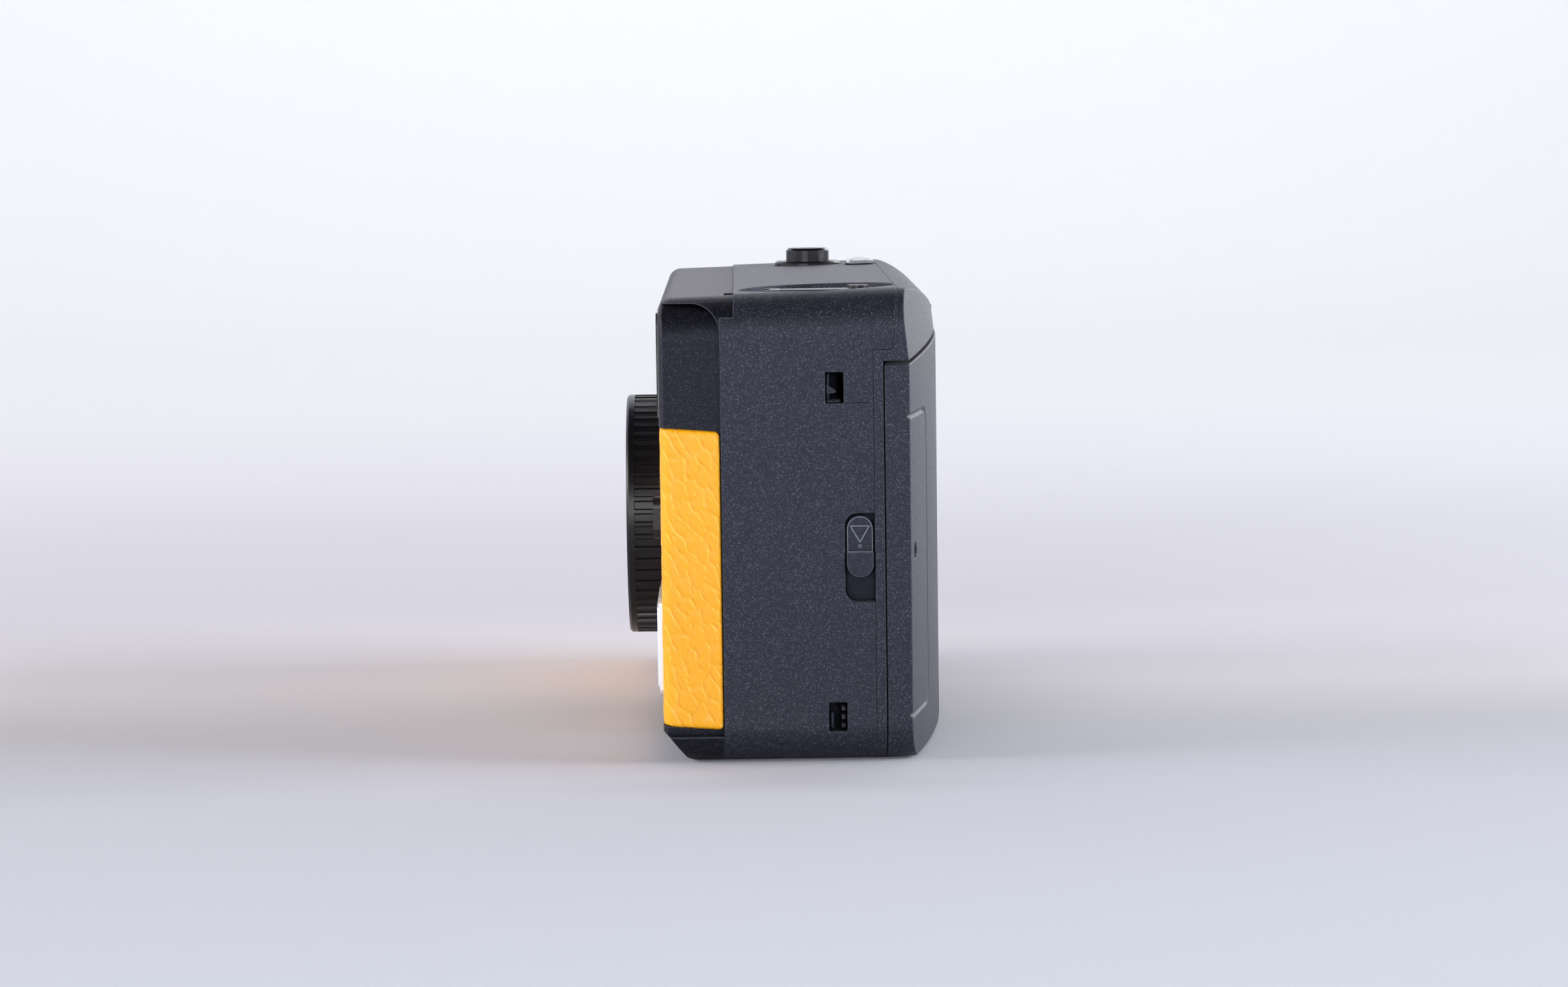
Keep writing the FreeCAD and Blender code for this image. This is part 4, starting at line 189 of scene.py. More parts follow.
# The viewing camera stands at the photograph's angle, a little above the top, 0.6 m from the near end.
# The eye's place and the focal length are in mm and the angles are in degrees.
EYE = (659.5, -6.6, 91.6)
FOCAL_LENGTH = 100.05
PITCH_DOWN = 5.14
YAW_TO_DOOR = 0.59
ROLL = -0.76
lens = bpy.data.cameras.new("photo_camera")
lens.lens = FOCAL_LENGTH
lens.sensor_width = 36.0
viewer = bpy.data.objects.new("photo_camera", lens)
bpy.context.scene.collection.objects.link(viewer)
look = Euler((math.radians(90 - PITCH_DOWN), 0, math.radians(90 - YAW_TO_DOOR)), "XYZ").to_matrix()
viewer.matrix_world = (Matrix.Translation([v * MM for v in EYE]) @ look.to_4x4()
                       @ Matrix.Rotation(math.radians(ROLL), 4, "Z"))
bpy.context.scene.camera = viewer
bpy.context.scene.view_settings.view_transform = "Standard"


# Case, cover, rear body and door
# Injection-moulded black ABS from a spark-eroded tool: fine pits, a few of them painted pale as painted
# glints where they catch the light.
# The cover's tool is finer than the case's, so the cover looks smoother and blacker.
GRAIN_MM, PIT_DEPTH_MM = 0.1, 0.06
# Pits whose random number, from 0 to 1, is above SPECK_LOT are specks: painted pale as glints, and smoother
# than the rest.
SPECK_LOT, SPECK_ROUGHNESS = 0.86, 0.32
# Painted highlight: hard edges are painted paler over this width in mm, up to this share of the paler
# colour where they turn most, in place of light caught on their rounding.
EDGE_HIGHLIGHT_MM, EDGE_HIGHLIGHT_SHARE, EDGE_HIGHLIGHT_COLOUR = 0.3, 0.28, "#8A8E9C"
# Painted shade: seams narrower than SEAM_MM are painted down to SEAM_LEFT of their colour and gloss at
# their bottom, and the latch's slot down to SLOT_LEFT of them.
SEAM_MM, SEAM_LEFT, SLOT_LEFT = 0.8, 0.12, 0.55
# Painted shade: inside the film space the plastic is painted black, with no gloss.
# The film space ends between these two X places, either side of the middle, and between these two Y places.
CHAMBER_END_MM, CHAMBER_BACK_MM = (56.6, 57.2), (11.8, 12.0)


def spark_eroded(name, colour, speck_glint_colour, roughness, bump, edge_mm, shine=0.5, chamber=False,
                 slot_mm=None):
    """Moulded black plastic: a pitted grain, specks painted pale as glints, hard edges painted paler as a
    highlight, painted shade in seams.

    Each pit is one cell of a Voronoi pattern. The few cells with the highest random number are specks.
    The grain's noise lightens and darkens the colour by up to 30%.
    The painted edge highlight grows as the dot product of the true and the rounded normal falls from 0.985
    to 0.8.
    Painted shade darkens colour and gloss where ambient occlusion falls from 0.75 to 0.25. Shine is the
    gloss left in the open, as a specular level. With chamber, the film space inside is painted black and
    without gloss, as painted shade. With slot_mm, painted shade darkens the plastic towards the bottom of a
    side slot, between those two X places.
    """
    material, tree, shader = new_material(name, Roughness=roughness, IOR=1.46, Specular_IOR_Level=shine,
                                          Specular_Tint=linear("#DDE3FF"), Sheen_Weight=0.05,
                                          Sheen_Roughness=0.35, Sheen_Tint=linear("#EEE8F4"))
    place = add(tree, "TexCoord")
    cells = add(tree, "TexVoronoi", {"Scale": 1000 / GRAIN_MM}, Vector=place.outputs["Object"])
    lot = add(tree, "SeparateColor", Color=cells.outputs["Color"])
    specks = add(tree, "MapRange", {"From Min": SPECK_LOT, "From Max": 1.0}, Value=lot.outputs["Red"])
    grain = add(tree, "TexNoise", {"Scale": 450 / GRAIN_MM, "Detail": 3.0, "Roughness": 0.65},
                Vector=place.outputs["Object"])
    tone = add(tree, "MapRange", {"From Min": 0.36, "From Max": 0.64, "To Min": 0.7, "To Max": 1.3},
               Value=grain.outputs["Fac"])
    pitted = add(tree, "Mix", {"data_type": "RGBA"}, n0=specks.outputs["Result"])
    pitted.inputs[6].default_value = linear(colour)
    pitted.inputs[7].default_value = linear(speck_glint_colour)
    speckled = add(tree, "VectorMath", {"operation": "SCALE"}, Vector=pitted.outputs[2],
                   Scale=tone.outputs["Result"])
    body_way = add(tree, "NewGeometry")
    # Painted highlight: hard edges get a paler colour where the rounded normal turns away from the true
    # one.
    rounded = add(tree, "Bevel", {"samples": 6, "Radius": EDGE_HIGHLIGHT_MM * MM})
    turned = add(tree, "VectorMath", {"operation": "DOT_PRODUCT"}, n0=body_way.outputs["True Normal"],
                 n1=rounded.outputs["Normal"])
    painted_edge_highlight = add(tree, "MapRange", {"From Min": 0.985, "From Max": 0.8, "To Max": EDGE_HIGHLIGHT_SHARE},
                 Value=turned.outputs["Value"])
    edge_highlighted = add(tree, "Mix", {"data_type": "RGBA"}, n0=painted_edge_highlight.outputs["Result"],
               n6=speckled.outputs["Vector"])
    edge_highlighted.inputs[7].default_value = linear(EDGE_HIGHLIGHT_COLOUR)
    # Painted shade: colour and gloss fall in seams and hollows where ambient occlusion is low.
    open_air = add(tree, "AmbientOcclusion", {"samples": 6, "Distance": SEAM_MM * MM})
    seam = add(tree, "MapRange", {"From Min": 0.25, "From Max": 0.75, "To Min": SEAM_LEFT},
               Value=open_air.outputs["AO"])
    shade = add(tree, "VectorMath", {"operation": "SCALE"}, Vector=edge_highlighted.outputs[2],
                Scale=seam.outputs["Result"])
    skin, gloss_share = shade.outputs["Vector"], seam.outputs["Result"]
    # Painted shade: the film space goes black, and the latch's slot goes darker towards its bottom.
    if chamber or slot_mm:
        axes = add(tree, "SeparateXYZ", Vector=place.outputs["Object"])
        if chamber:
            off_middle = add(tree, "Math", {"operation": "ABSOLUTE"}, Value=axes.outputs["X"])
            at_end = add(tree, "MapRange",
                         {"From Min": CHAMBER_END_MM[0] * MM, "From Max": CHAMBER_END_MM[1] * MM},
                         Value=off_middle.outputs[0])
            at_back = add(tree, "MapRange",
                          {"From Min": CHAMBER_BACK_MM[0] * MM, "From Max": CHAMBER_BACK_MM[1] * MM},
                          Value=axes.outputs["Y"])
            outside = add(tree, "Math", {"operation": "MAXIMUM"}, n0=at_end.outputs["Result"],
                          n1=at_back.outputs["Result"])
            share = outside.outputs[0]
        else:
            depth = add(tree, "MapRange", {"From Min": slot_mm[0] * MM, "From Max": slot_mm[1] * MM,
                                           "To Min": SLOT_LEFT}, Value=axes.outputs["X"])
            share = depth.outputs["Result"]
        dimmed = add(tree, "VectorMath", {"operation": "SCALE"}, Vector=skin, Scale=share)
        dulled = add(tree, "Math", {"operation": "MULTIPLY"}, n0=share, n1=gloss_share)
        skin, gloss_share = dimmed.outputs["Vector"], dulled.outputs[0]
    gloss = add(tree, "Math", {"operation": "MULTIPLY", 1: shine}, n0=gloss_share)
    tree.links.new(skin, shader.inputs["Base Color"])
    tree.links.new(gloss.outputs[0], shader.inputs["Specular IOR Level"])
    glint = add(tree, "MapRange", {"To Min": roughness, "To Max": SPECK_ROUGHNESS},
                Value=specks.outputs["Result"])
    tree.links.new(glint.outputs["Result"], shader.inputs["Roughness"])
    edge = add(tree, "Bevel", {"samples": 6, "Radius": edge_mm * MM})
    pits = add(tree, "Bump", {"Strength": bump, "Distance": PIT_DEPTH_MM * MM}, Height=grain.outputs["Fac"],
               Normal=edge.outputs["Normal"])
    tree.links.new(pits.outputs["Normal"], shader.inputs["Normal"])
    return material


case_plastic = spark_eroded("spark_eroded_black_abs", "#161820", "#565860", roughness=0.5, bump=0.8,
                            edge_mm=0.05)
rear_plastic = spark_eroded("spark_eroded_black_abs_with_painted_chamber_shade", "#161820", "#565860", roughness=0.5,
                            bump=0.8, edge_mm=0.05, chamber=True)
cover_plastic = spark_eroded("fine_textured_black_abs", "#040407", "#3A3A46", roughness=0.5, bump=0.4,
                             edge_mm=0.12, shine=0.36)


def dress(material, *nodes):
    """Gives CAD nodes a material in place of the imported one."""
    for node in nodes:
        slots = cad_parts[node].data.materials
        slots.clear()
        slots.append(material)


# Corners nearer than MERGE_MM are one, faces that turn less than LEVEL_DEGREES are one, and an edge that
# turns more than HARD_DEGREES is hard.
MERGE_MM, LEVEL_DEGREES, HARD_DEGREES = 0.002, 0.8, 35


def softened(node, material, radius_mm, body="camera", reshape=None):
    """A merged copy of a CAD piece whose hard edges get the small radius left by its moulding tool.

    Reshape takes the corner points in mm as one array and gives them back moved.
    """
    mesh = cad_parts[node].data.copy()
    work = bmesh.new()
    work.from_mesh(mesh)
    bmesh.ops.remove_doubles(work, verts=work.verts, dist=MERGE_MM * MM)
    bmesh.ops.dissolve_limit(work, angle_limit=math.radians(LEVEL_DEGREES), verts=work.verts,
                             edges=work.edges)
    work.to_mesh(mesh)
    work.free()
    if reshape:
        points = np.empty(len(mesh.vertices) * 3, np.float32)
        mesh.vertices.foreach_get("co", points)
        mesh.vertices.foreach_set("co", (reshape(points.reshape(-1, 3) / MM) * MM).ravel())
    mesh.polygons.foreach_set("use_smooth", np.ones(len(mesh.polygons), bool))
    mesh.materials.clear()
    mesh.materials.append(material)
    shell = bpy.data.objects.new(node + "_moulded", mesh)
    bpy.context.scene.collection.objects.link(shell)
    edge = shell.modifiers.new("tool_radius", "BEVEL")
    edge.width = radius_mm * MM
    edge.segments = 2
    edge.limit_method = "ANGLE"
    edge.angle_limit = math.radians(HARD_DEGREES)
    edge.use_clamp_overlap = False
    flat = shell.modifiers.new("flat_face_shading", "WEIGHTED_NORMAL")
    flat.keep_sharp = True
    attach(shell, body)
    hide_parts(node)


dress(case_plastic, "front_case", "back_door")
dress(rear_plastic, "rear_body")
dress(cover_plastic, "front_cover", "battery_door")
softened("front_case", case_plastic, 0.16)
softened("rear_body", rear_plastic, 0.16)
softened("back_door", case_plastic, 0.22, "door")


# Viewfinder eyepiece
# A moulded frame of the case's own plastic, let into the rounded top of the back. Its outer face follows
# the rounding, a touch proud of it.
ROUND_Y, ROUND_Z, ROUND_RADIUS = 15.5, 57.84, 7.5
EYEPIECE_FACE_Y, EYEPIECE_ROOT_Y, EYEPIECE_PROUD = 22.53, 20.0, 0.12


def follow_back(points):
    """Moves the outer face in Y by round Y + sqrt(R^2 - (Z - round Z)^2) + proud - face Y, if below 0."""
    moved = points.copy()
    fall = np.sqrt(np.maximum(ROUND_RADIUS ** 2 - (points[:, 2] - ROUND_Z) ** 2, 0))
    outer = points[:, 1] > EYEPIECE_ROOT_Y
    moved[outer, 1] += np.minimum(ROUND_Y + fall[outer] + EYEPIECE_PROUD - EYEPIECE_FACE_Y, 0)
    return moved


dress(case_plastic, "viewfinder_eyepiece")
softened("viewfinder_eyepiece", case_plastic, 0.16, reshape=follow_back)


# Leatherette: embossed sheet glued round the front and both flanks
# Soft PVC on cloth, 0.6 mm thick. A roller pressed in long pebbles that lean forward as they rise,
# with rounded creases between them, and the cut edge is rolled down where it meets the cover.
def scattered(cell_across, cell_up, seed):
    """A steady random number from 0 to 1 for each cell: the fraction of a large sine of its place."""
    wave = np.sin(cell_across * 127.1 + cell_up * 311.7 + seed * 74.7) * 43758.5453
    return wave - np.floor(wave)


def pebble_grain(along, up, width, height, lean, seed):
    """Gap between the distances to the two nearest jittered pebble centres, and the nearest one's number.

    Places are (along - lean * up) / width and up / height, bent by slow sines, with every other row moved
    half a pebble across. The gap is in pebble widths and is 0 in a crease. The number is random, 0 to 1.
    """
    bend = 0.42 * np.sin(0.55 * up + 0.31 * along + seed) + 0.24 * np.sin(1.31 * up - 0.83 * along)
    across = (along - lean * up + bend) / width
    rise = (up + 0.5 * np.sin(0.9 * along + seed)) / height
    first = np.full(across.shape, np.inf)
    second = np.full(across.shape, np.inf)
    owner = np.zeros(across.shape)
    for step_across in (-1, 0, 1):
        for step_up in (-2, -1, 0, 1, 2):
            cell_across = np.floor(across) + step_across
            cell_up = np.floor(rise) + step_up
            jitter_across = 0.3 * (2 * scattered(cell_across, cell_up, seed) - 1)
            jitter_up = 0.32 * (2 * scattered(cell_across, cell_up, seed + 5) - 1)
            stagger = 0.5 * (cell_up % 2) - 0.25
            away = np.hypot(across - (cell_across + 0.5 + stagger + jitter_across),
                            (rise - (cell_up + 0.5 + jitter_up)) * 0.8)
            nearer = away < first
            second = np.where(nearer, first, np.minimum(second, away))
            owner = np.where(nearer, scattered(cell_across, cell_up, seed + 9), owner)
            first = np.where(nearer, away, first)
    return second - first, owner


def rounded_drop(distance, radius):
    """How far a quarter round of the radius lies below its top, at a distance in from its outer edge."""
    return radius - np.sqrt(np.clip(radius ** 2 - np.clip(radius - distance, 0, radius) ** 2, 0, None))


def leather_sheet(name):
    """The sheet's outer face: x, y run along a flank, a corner of radius r, the front, and back again.

    With s along that path, a the flank's straight length and q = pi r / 2 a corner's,
    turn1 = (s - a) / r and turn2 = (s - a - q - w) / r, each held to 0..pi/2,
    x = W - r (1 - cos turn1) - t2 - r sin turn2, y = rear - t1 - r sin turn1 + r (1 - cos turn2) + t3,
    then the face sinks along (cos, -sin) of turn1 + turn2 by the crease, pebble tilt and rolled edge.
    The attribute lit_side is 0.5 + 1.1 (0.6 u - v), with u and v how fast the creases deepen upwards and
    along the path, so a wall that faces up and towards the start of the path is above 0.5. The material
    reads it to paint a highlight on such walls and shade on the opposite ones.
    """
    side, front, rear, corner = 59.5, -17.6, -9.14, 2.0
    bottom, top, tilt = 5.0, 46.6, 0.6
    cut_corner_radius, roll_radius = 0.7, 0.5
    crease_depth, fine_depth, pebble_depth, fine_pebble_depth = 0.09, 0.035, 0.06, 0.03
    crease_width, fine_width = 0.075, 0.14
    flank = rear - front - corner
    bend = math.pi * corner / 2
    across_front = 2 * (side - corner)
    path = np.concatenate([np.linspace(0, flank + bend, 46)[:-1],
                           np.linspace(flank + bend, flank + bend + across_front, 280)[:-1],
                           np.linspace(flank + bend + across_front, 2 * (flank + bend) + across_front, 46)])
    rise = np.linspace(0, 1, 124)
    s = np.broadcast_to(path[:, None], (path.size, rise.size))
    turn1 = np.clip((s - flank) / corner, 0, math.pi / 2)
    turn2 = np.clip((s - flank - bend - across_front) / corner, 0, math.pi / 2)
    t1 = np.clip(s, 0, flank)
    t2 = np.clip(s - flank - bend, 0, across_front)
    t3 = np.clip(s - flank - 2 * bend - across_front, 0, flank)
    x = side - corner * (1 - np.cos(turn1)) - t2 - corner * np.sin(turn2)
    y = rear - t1 - corner * np.sin(turn1) + corner * (1 - np.cos(turn2)) + t3
    sink_at_rear = tilt * (y - front) / (rear - front) - tilt / 2
    to_end = np.minimum(s, path[-1] - s)
    cut_corner = rounded_drop(to_end, cut_corner_radius)
    low = bottom - sink_at_rear + cut_corner
    high = top - sink_at_rear - cut_corner
    z = low + (high - low) * rise[None, :]
    gap, owner = pebble_grain(s, z, width=1.95, height=2.7, lean=0.2, seed=3)
    fine_gap, fine_owner = pebble_grain(s, z, width=0.9, height=1.3, lean=0.3, seed=8)
    grain = (crease_depth * np.exp(-(gap / crease_width) ** 2)
             + fine_depth * np.exp(-(fine_gap / fine_width) ** 2))
    to_edge = np.minimum(to_end, np.minimum(z - low, high - z))
    roll = np.clip(rounded_drop(to_edge, roll_radius) * 1.1, 0, roll_radius)
    sunk = grain + pebble_depth * owner + fine_pebble_depth * fine_owner + roll
    turn = turn1 + turn2
    points = np.stack([x - sunk * np.cos(turn), y + sunk * np.sin(turn), z], axis=-1) * MM
    sheet = grid_mesh(name, points)
    slope_along = np.gradient(grain, path, axis=0)
    slope_up = np.gradient(grain, axis=1) / ((top - bottom) / (rise.size - 1))
    lit_side = 0.5 + 1.1 * (0.6 * slope_up - slope_along)
    tint = sheet.data.attributes.new("lit_side", "FLOAT", "POINT")
    tint.data.foreach_set("value", np.clip(lit_side, 0, 1).ravel().astype(np.float32))
    return sheet, x, z


# The lens ring's wall by its middle's height and its radius, the switch plate by its middle and half size.
RING_Z, RING_WALL = 29.6, 17.0
SWITCH_X, SWITCH_Z, SWITCH_HALF_WIDTH, SWITCH_HALF_HEIGHT = 28.0, 31.8, 6.2, 4.1
# The sheet lies level on the front as far as this from the middle.
LEVEL_FRONT = 57.4


def open_holes(sheet, x, z):
    """Takes out the faces hidden in the lens ring's wall and under the flash switch's plate."""
    centre_x = (x[:-1, :-1] + x[1:, 1:]) / 2
    centre_z = (z[:-1, :-1] + z[1:, 1:]) / 2
    front_columns = np.abs(x[:, 0]) < LEVEL_FRONT
    on_front = front_columns[:-1, None] & front_columns[1:, None]
    in_ring = np.hypot(centre_x, centre_z - RING_Z) < RING_WALL
    beside_switch = np.abs(centre_x - SWITCH_X) < SWITCH_HALF_WIDTH
    in_plate = beside_switch & (np.abs(centre_z - SWITCH_Z) < SWITCH_HALF_HEIGHT)
    gone = np.flatnonzero(((in_ring | in_plate) & on_front).ravel())
    work = bmesh.new()
    work.from_mesh(sheet.data)
    work.faces.ensure_lookup_table()
    bmesh.ops.delete(work, geom=[work.faces[index] for index in gone], context="FACES")
    work.to_mesh(sheet.data)
    work.free()


# Waxed PVC: a warm yellow with a soft gloss. The crease walls that face up and one way along the sheet are
# painted paler as a painted highlight, and the opposite walls a deeper orange as painted shade.
leather, leather_tree, leather_shader = new_material("embossed_yellow_leatherette", Roughness=0.42,
                                                     IOR=1.46)
crease_mark = add(leather_tree, "Attribute", {"attribute_name": "lit_side"})
crease_painted_highlight = add(leather_tree, "MapRange", {"From Min": 0.54, "From Max": 0.72, "To Max": 0.7},
                  Value=crease_mark.outputs["Fac"])
crease_painted_shade = add(leather_tree, "MapRange", {"From Min": 0.46, "From Max": 0.25, "To Max": 0.55},
                  Value=crease_mark.outputs["Fac"])
leather_place = add(leather_tree, "TexCoord")
leather_pores = add(leather_tree, "TexNoise", {"Scale": 4200.0, "Detail": 3.0},
                    Vector=leather_place.outputs["Object"])
leather_cloud = add(leather_tree, "TexNoise", {"Scale": 90.0, "Detail": 3.0},
                    Vector=leather_place.outputs["Object"])
leather_tone = add(leather_tree, "Mix", {"data_type": "RGBA"}, n0=leather_cloud.outputs["Fac"])
leather_tone.inputs[6].default_value = linear("#F2A506")
leather_tone.inputs[7].default_value = linear("#F9B214")
leather_deep = add(leather_tree, "Mix", {"data_type": "RGBA"}, n0=crease_painted_shade.outputs["Result"],
                   n6=leather_tone.outputs[2])
leather_deep.inputs[7].default_value = linear("#E8930C")
leather_mix = add(leather_tree, "Mix", {"data_type": "RGBA"}, n0=crease_painted_highlight.outputs["Result"],
                  n6=leather_deep.outputs[2])
leather_mix.inputs[7].default_value = linear("#FFC850")
leather_tree.links.new(leather_mix.outputs[2], leather_shader.inputs["Base Color"])
leather_bump = add(leather_tree, "Bump", {"Strength": 0.35, "Distance": 0.05 * MM},
                   Height=leather_pores.outputs["Fac"])
leather_tree.links.new(leather_bump.outputs["Normal"], leather_shader.inputs["Normal"])

leather_skin, leather_x, leather_z = leather_sheet("leatherette_grain")
open_holes(leather_skin, leather_x, leather_z)
leather_skin.data.materials.append(leather)
leather_back = leather_skin.modifiers.new("cloth_backing", "SOLIDIFY")
leather_back.thickness = 0.04 * MM
leather_back.offset = -1
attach(leather_skin, "camera")
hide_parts("leatherette")
dress(leather, "leatherette")


# Lens ring, winding wheel, buttons, switch and rewind crank
# Small black ABS mouldings that fingers touch, pressed or snapped into the case. The ribbed ones are satin,
# and the shutter button and its collar come from a polished tool.
def plain(name, colour, roughness, metallic=0.0, mottle=0.1, scale=900.0, bump=0.1, edge_mm=0.08, **more):
    """A moulded or turned finish: slight cloudiness in colour and roughness, and a faint bump.

    Mottle is how far the colour strays either way, and scale is in clouds per metre.
    """
    material, tree, shader = new_material(name, Roughness=roughness, Metallic=metallic, **more)
    place = add(tree, "TexCoord")
    cloud = add(tree, "TexNoise", {"Scale": scale, "Detail": 4.0}, Vector=place.outputs["Object"])
    tone = add(tree, "MapRange",
               {"From Min": 0.3, "From Max": 0.7, "To Min": 1 - mottle, "To Max": 1 + mottle},
               Value=cloud.outputs["Fac"])
    shade = add(tree, "VectorMath", {"operation": "SCALE", "Vector": linear(colour)[:3]},
                Scale=tone.outputs["Result"])
    tree.links.new(shade.outputs["Vector"], shader.inputs["Base Color"])
    dull = add(tree, "MapRange", {"To Min": roughness * 0.9, "To Max": roughness * 1.1},
               Value=cloud.outputs["Fac"])
    tree.links.new(dull.outputs["Result"], shader.inputs["Roughness"])
    edge = add(tree, "Bevel", {"samples": 4, "Radius": edge_mm * MM})
    ripple = add(tree, "Bump", {"Strength": bump, "Distance": 0.05 * MM}, Height=cloud.outputs["Fac"],
                 Normal=edge.outputs["Normal"])
    tree.links.new(ripple.outputs["Normal"], shader.inputs["Normal"])
    return material


# Satin ABS shows a broad soft gloss, and polished ABS a narrow one.
ring_plastic = plain("satin_black_ring_abs", "#0D0E14", 0.3, IOR=1.42)
gloss_black = plain("polished_black_abs", "#101117", 0.22, IOR=1.4)
satin_black = plain("satin_black_slider_abs", "#11131B", 0.34, edge_mm=0.1)
dress(ring_plastic, "lens_ring", "lens_barrel", "switch_plate", "thumbwheel")
dress(gloss_black, "shutter_button", "button_collar")
dress(satin_black, "flash_switch", "rewind_hub", "rewind_lever", "rewind_knob", "rewind_collar",
      "release_button", "lens_retainer")


# Spools, carriers and seals inside
# Black ABS mouldings that must not mirror light onto the film, so their tool is left flat and dull.
# The seals are strips of black foam glued into the door's grooves, rough and full of open cells.
flat_black = plain("flat_black_chamber_abs", "#17171A", 0.62)
foam = plain("black_seal_foam", "#101012", 0.9, mottle=0.3, scale=5000.0, bump=0.8)
dress(flat_black, "takeup_spool", "sprocket_wheel", "aperture_plate", "viewfinder_tube", "battery_holder",
      "pressure_plate")
dress(foam, "light_seals")


# Springs, pins, contacts, screws, reflector and badge plate
# Bent and turned steel with bright nickel plating, a reflector pressed from anodised sheet that mirrors the
# flash, and a thin plate of brushed aluminium glued to the front, bare of any mark.
steel = plain("nickel_plated_steel", "#C4C6CA", 0.3, metallic=1.0, mottle=0.05, scale=2500.0)
mirror_metal = plain("bright_anodised_reflector", "#F0F1F3", 0.12, metallic=1.0, mottle=0.03)
plate_silver = plain("brushed_aluminium_plate", "#E4EBF6", 0.35, metallic=0.6, mottle=0.04, scale=3000.0)
dress(steel, "button_spring", "lever_pin", "latch_spring", "wheel_axle", "shutter_blade", "blade_pin",
      "release_lever", "lever_pivot", "top_contact", "battery_contact", "release_spring", "strap_bar",
      "pressure_spring", "hinge_pin", "case_screws")
dress(mirror_metal, "flash_reflector")
dress(plate_silver, "badge_plate")


# Flash circuit and frame counter
# A glass-fibre board under green solder mask, a capacitor in a navy shrink sleeve, and a counter dial
# moulded in white plastic under its window. All three have the soft gloss of clean plastic.
board_green = plain("solder_mask_green", "#1D5A35", 0.4)
sleeve = plain("shrink_sleeve_navy", "#15182C", 0.3)
dial_white = plain("white_dial_plastic", "#DCDBD6", 0.4)
dress(board_green, "flash_board")
dress(sleeve, "flash_capacitor")
dress(dial_white, "counter_dial")


# Windows, lenses and ready lamp
# Acrylic windows moulded clear and smooth, ground glass lenses with a second gloss from their coating, and
# a small lamp in amber plastic that lets light through only dimly.
acrylic = plain("clear_acrylic_window", "#F5F8FA", 0.02, mottle=0.01, scale=400.0, bump=0.0,
                Transmission_Weight=1.0, IOR=1.49)
glass = plain("coated_optical_glass", "#E9EEF7", 0.02, mottle=0.01, scale=400.0, bump=0.0,
              Transmission_Weight=1.0, IOR=1.52, Coat_Weight=0.6)
amber = plain("amber_lamp_lens", "#FF8A3C", 0.15, mottle=0.05, bump=0.05, Transmission_Weight=0.5)
dress(acrylic, "flash_window", "counter_window", "viewfinder_window")
dress(glass, "front_lens", "rear_lens", "flash_tube")
dress(amber, "ready_lamp")


# Door latch
# A satin black ABS slider in the side slot. Thin raised lines mark it, painted a pale grey as a painted
# highlight: a rim round the upper half, a triangle that points the way it slides, a small ring under the
# point and a line at the step.
def bead(name, path, x, half_width, height, closed):
    """A half-round ridge on a face across X, for t from 0 to pi and n square to the path.

    Its Y and Z are those of the path + half_width cos t n, and its X is x + height sin t.
    """
    path = np.array(path, float)
    before = np.roll(path, 1, axis=0) if closed else np.vstack([path[:1], path[:-1]])
    after = np.roll(path, -1, axis=0) if closed else np.vstack([path[1:], path[-1:]])
    along = after - before
    along /= np.linalg.norm(along, axis=1, keepdims=True)
    across = np.stack([along[:, 1], -along[:, 0]], axis=1)
    turn = np.linspace(math.pi, 0, 6)
    spread = path[:, None, :] + half_width * np.cos(turn)[None, :, None] * across[:, None, :]
    rise = np.broadcast_to((x + height * np.sin(turn))[None, :], spread.shape[:2])
    return grid_mesh(name, np.concatenate([rise[..., None], spread], axis=-1) * MM, close_rows=closed)


def straight(corners, step, closed=True):
    """Points every step along straight lines between corners, so a ridge keeps its width at each turn."""
    corners = [np.array(corner, float) for corner in corners]
    pairs = zip(corners, corners[1:] + corners[:1]) if closed else zip(corners, corners[1:])
    points = []
    for start, end in pairs:
        count = max(2, int(np.linalg.norm(end - start) / step))
        points.extend(start + (end - start) * part / count for part in range(count))
    return points if closed else points + [corners[-1]]


# Painted shade darkens the slider towards the bottom of its slot.
latch_plastic = spark_eroded("satin_black_latch_abs", "#14161D", "#40434E", roughness=0.36, bump=0.2,
                             edge_mm=0.1, slot_mm=(57.7, 58.75))
dress(latch_plastic, "door_latch")
# The slider's raised pill: its middle Y, half width, top Z, its step's Z, and its face's X, in mm.
PILL_Y, PILL_HALF, PILL_TOP, PILL_STEP, PILL_FACE = 10.025, 1.72, 34.18, 29.3, 58.8
TRIANGLE = ((8.7, 32.9), (11.35, 32.9), (10.03, 30.65))
MARK_Z, MARK_RADIUS = 30.1, 0.2
arch = np.linspace(0, math.pi, 25)
arch_path = np.stack([PILL_Y + PILL_HALF * np.cos(arch), PILL_TOP + PILL_HALF * (np.sin(arch) - 1)], axis=1)
step_ends = ((PILL_Y + PILL_HALF, PILL_STEP), (PILL_Y - PILL_HALF, PILL_STEP))
rim_path = np.vstack([step_ends[:1], arch_path, step_ends[1:]])
mark_turn = np.linspace(0, 2 * math.pi, 17)[:-1]
mark_path = np.stack([PILL_Y + MARK_RADIUS * np.cos(mark_turn), MARK_Z + MARK_RADIUS * np.sin(mark_turn)],
                     axis=1)
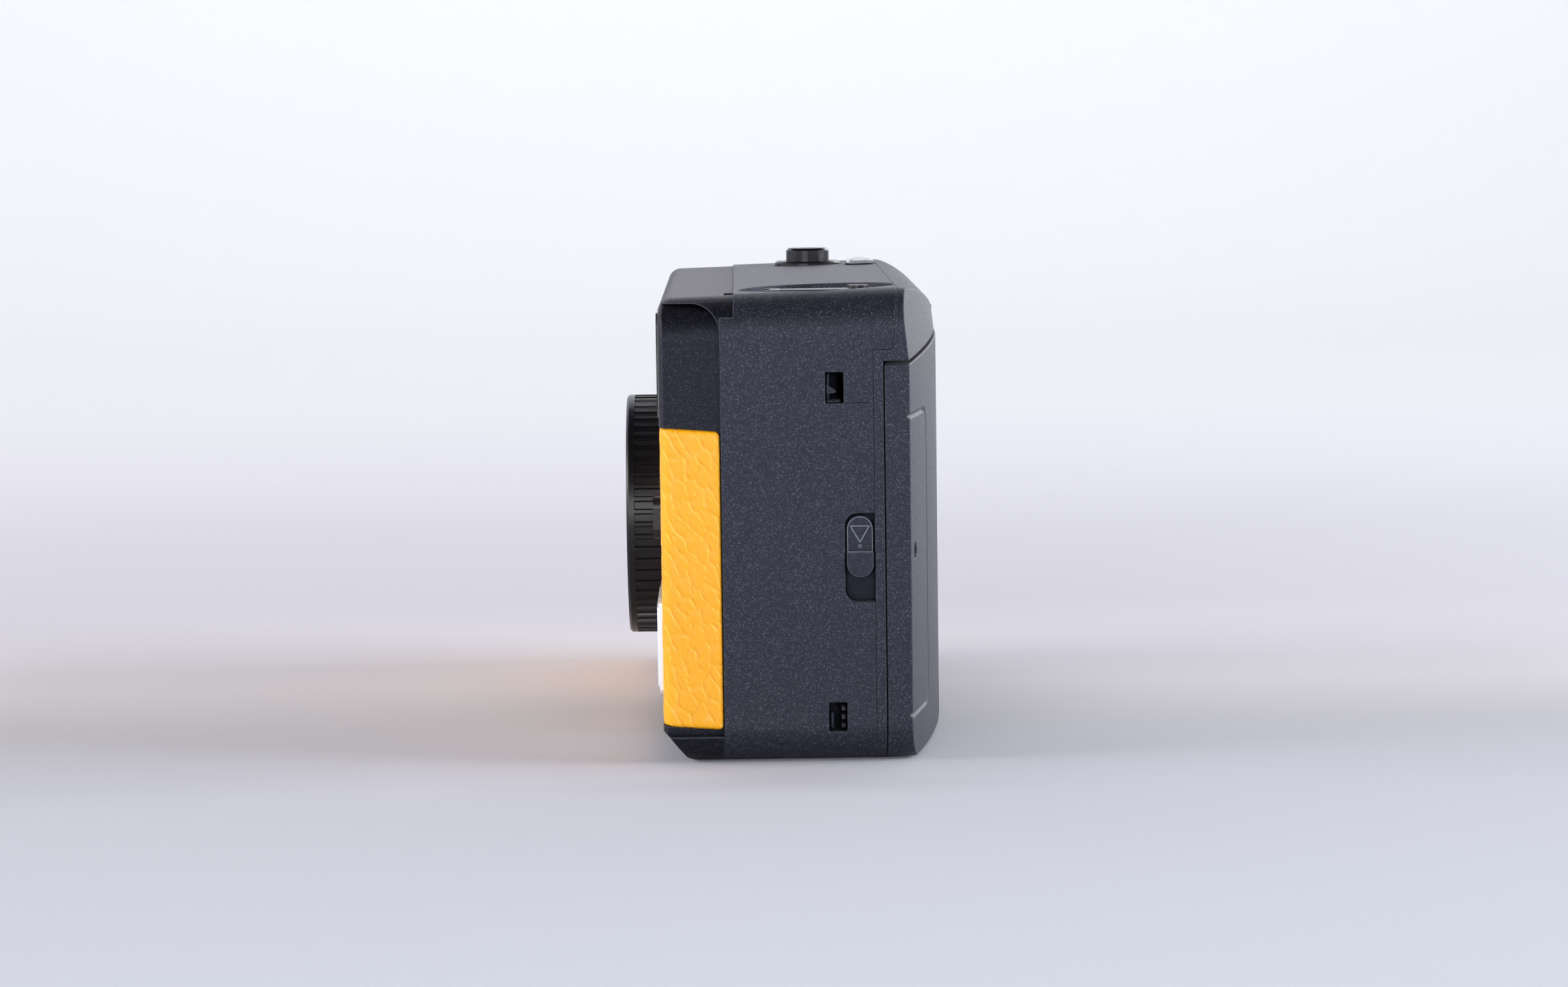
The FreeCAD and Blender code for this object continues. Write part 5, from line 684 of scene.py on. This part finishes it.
latch_lines = (bead("latch_rim_line", rim_path[::-1], PILL_FACE, 0.07, 0.1, False),
               bead("latch_triangle", straight(TRIANGLE, 0.2), PILL_FACE, 0.09, 0.1, True),
               bead("latch_ring_mark", mark_path, PILL_FACE, 0.06, 0.06, True),
               bead("latch_step_line", straight(step_ends, 0.3, False), PILL_FACE, 0.09, 0.1, False))
# The lines are painted a pale grey as a painted highlight.
pale_highlight_line_plastic = plain("painted_highlight_line_abs", "#7C818E", 0.3)
for line in latch_lines:
    line.data.materials.append(pale_highlight_line_plastic)
    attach(line, "latch")


# Spring under the shutter button
# Flat spring-steel strip wound on a cone, so that its turns nest in the collar when the button is down.
def conical_spring(name, centre, inner, outer, bottom, top, turns, strip):
    """The strip's middle at share t of the turns: radius outer to inner and height bottom to top, both in
    proportion to t, with half the strip's size kept inside each limit.
    """
    part = np.linspace(0, 1, turns * 32 + 1)
    angle = 2 * math.pi * turns * part[:, None]
    wide, thin = strip
    corners = np.array([(-wide, -thin), (wide, -thin), (wide, thin), (-wide, thin)]) / 2
    radius = (outer - wide / 2 - (outer - inner - wide) * part)[:, None] + corners[None, :, 0]
    height = (bottom + thin / 2 + (top - bottom - thin) * part)[:, None] + corners[None, :, 1]
    points = np.stack([centre[0] + radius * np.cos(angle), centre[1] + radius * np.sin(angle), height],
                      axis=-1)
    return grid_mesh(name, points * MM, close_columns=True)


SPRING_BORE = 1.75
spring_low, spring_high = (np.array(corner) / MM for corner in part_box("button_spring"))
spring_middle = (spring_low + spring_high) / 2
spring_radius = spring_high[0] - spring_middle[0]
button_coil = conical_spring("button_spring_strip", spring_middle, SPRING_BORE, spring_radius,
                             spring_low[2], spring_high[2], turns=3, strip=(0.17, 0.06))
button_coil.data.materials.append(steel)
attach(button_coil, "camera")
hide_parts("button_spring")
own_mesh(button_coil)

# Knit line beside the upper snap window
# Where the two melt fronts met round the window's core, the case shows one fine line to the seam.
CASE_END_X = 59.5
KNIT_ENDS = ((8.15, 50.05), (11.6, 50.05))
knit_line = bead("snap_window_knit_line", straight(KNIT_ENDS, 0.4, False), CASE_END_X, 0.12, 0.04, False)
knit_line.data.materials.append(cover_plastic)
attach(knit_line, "camera")
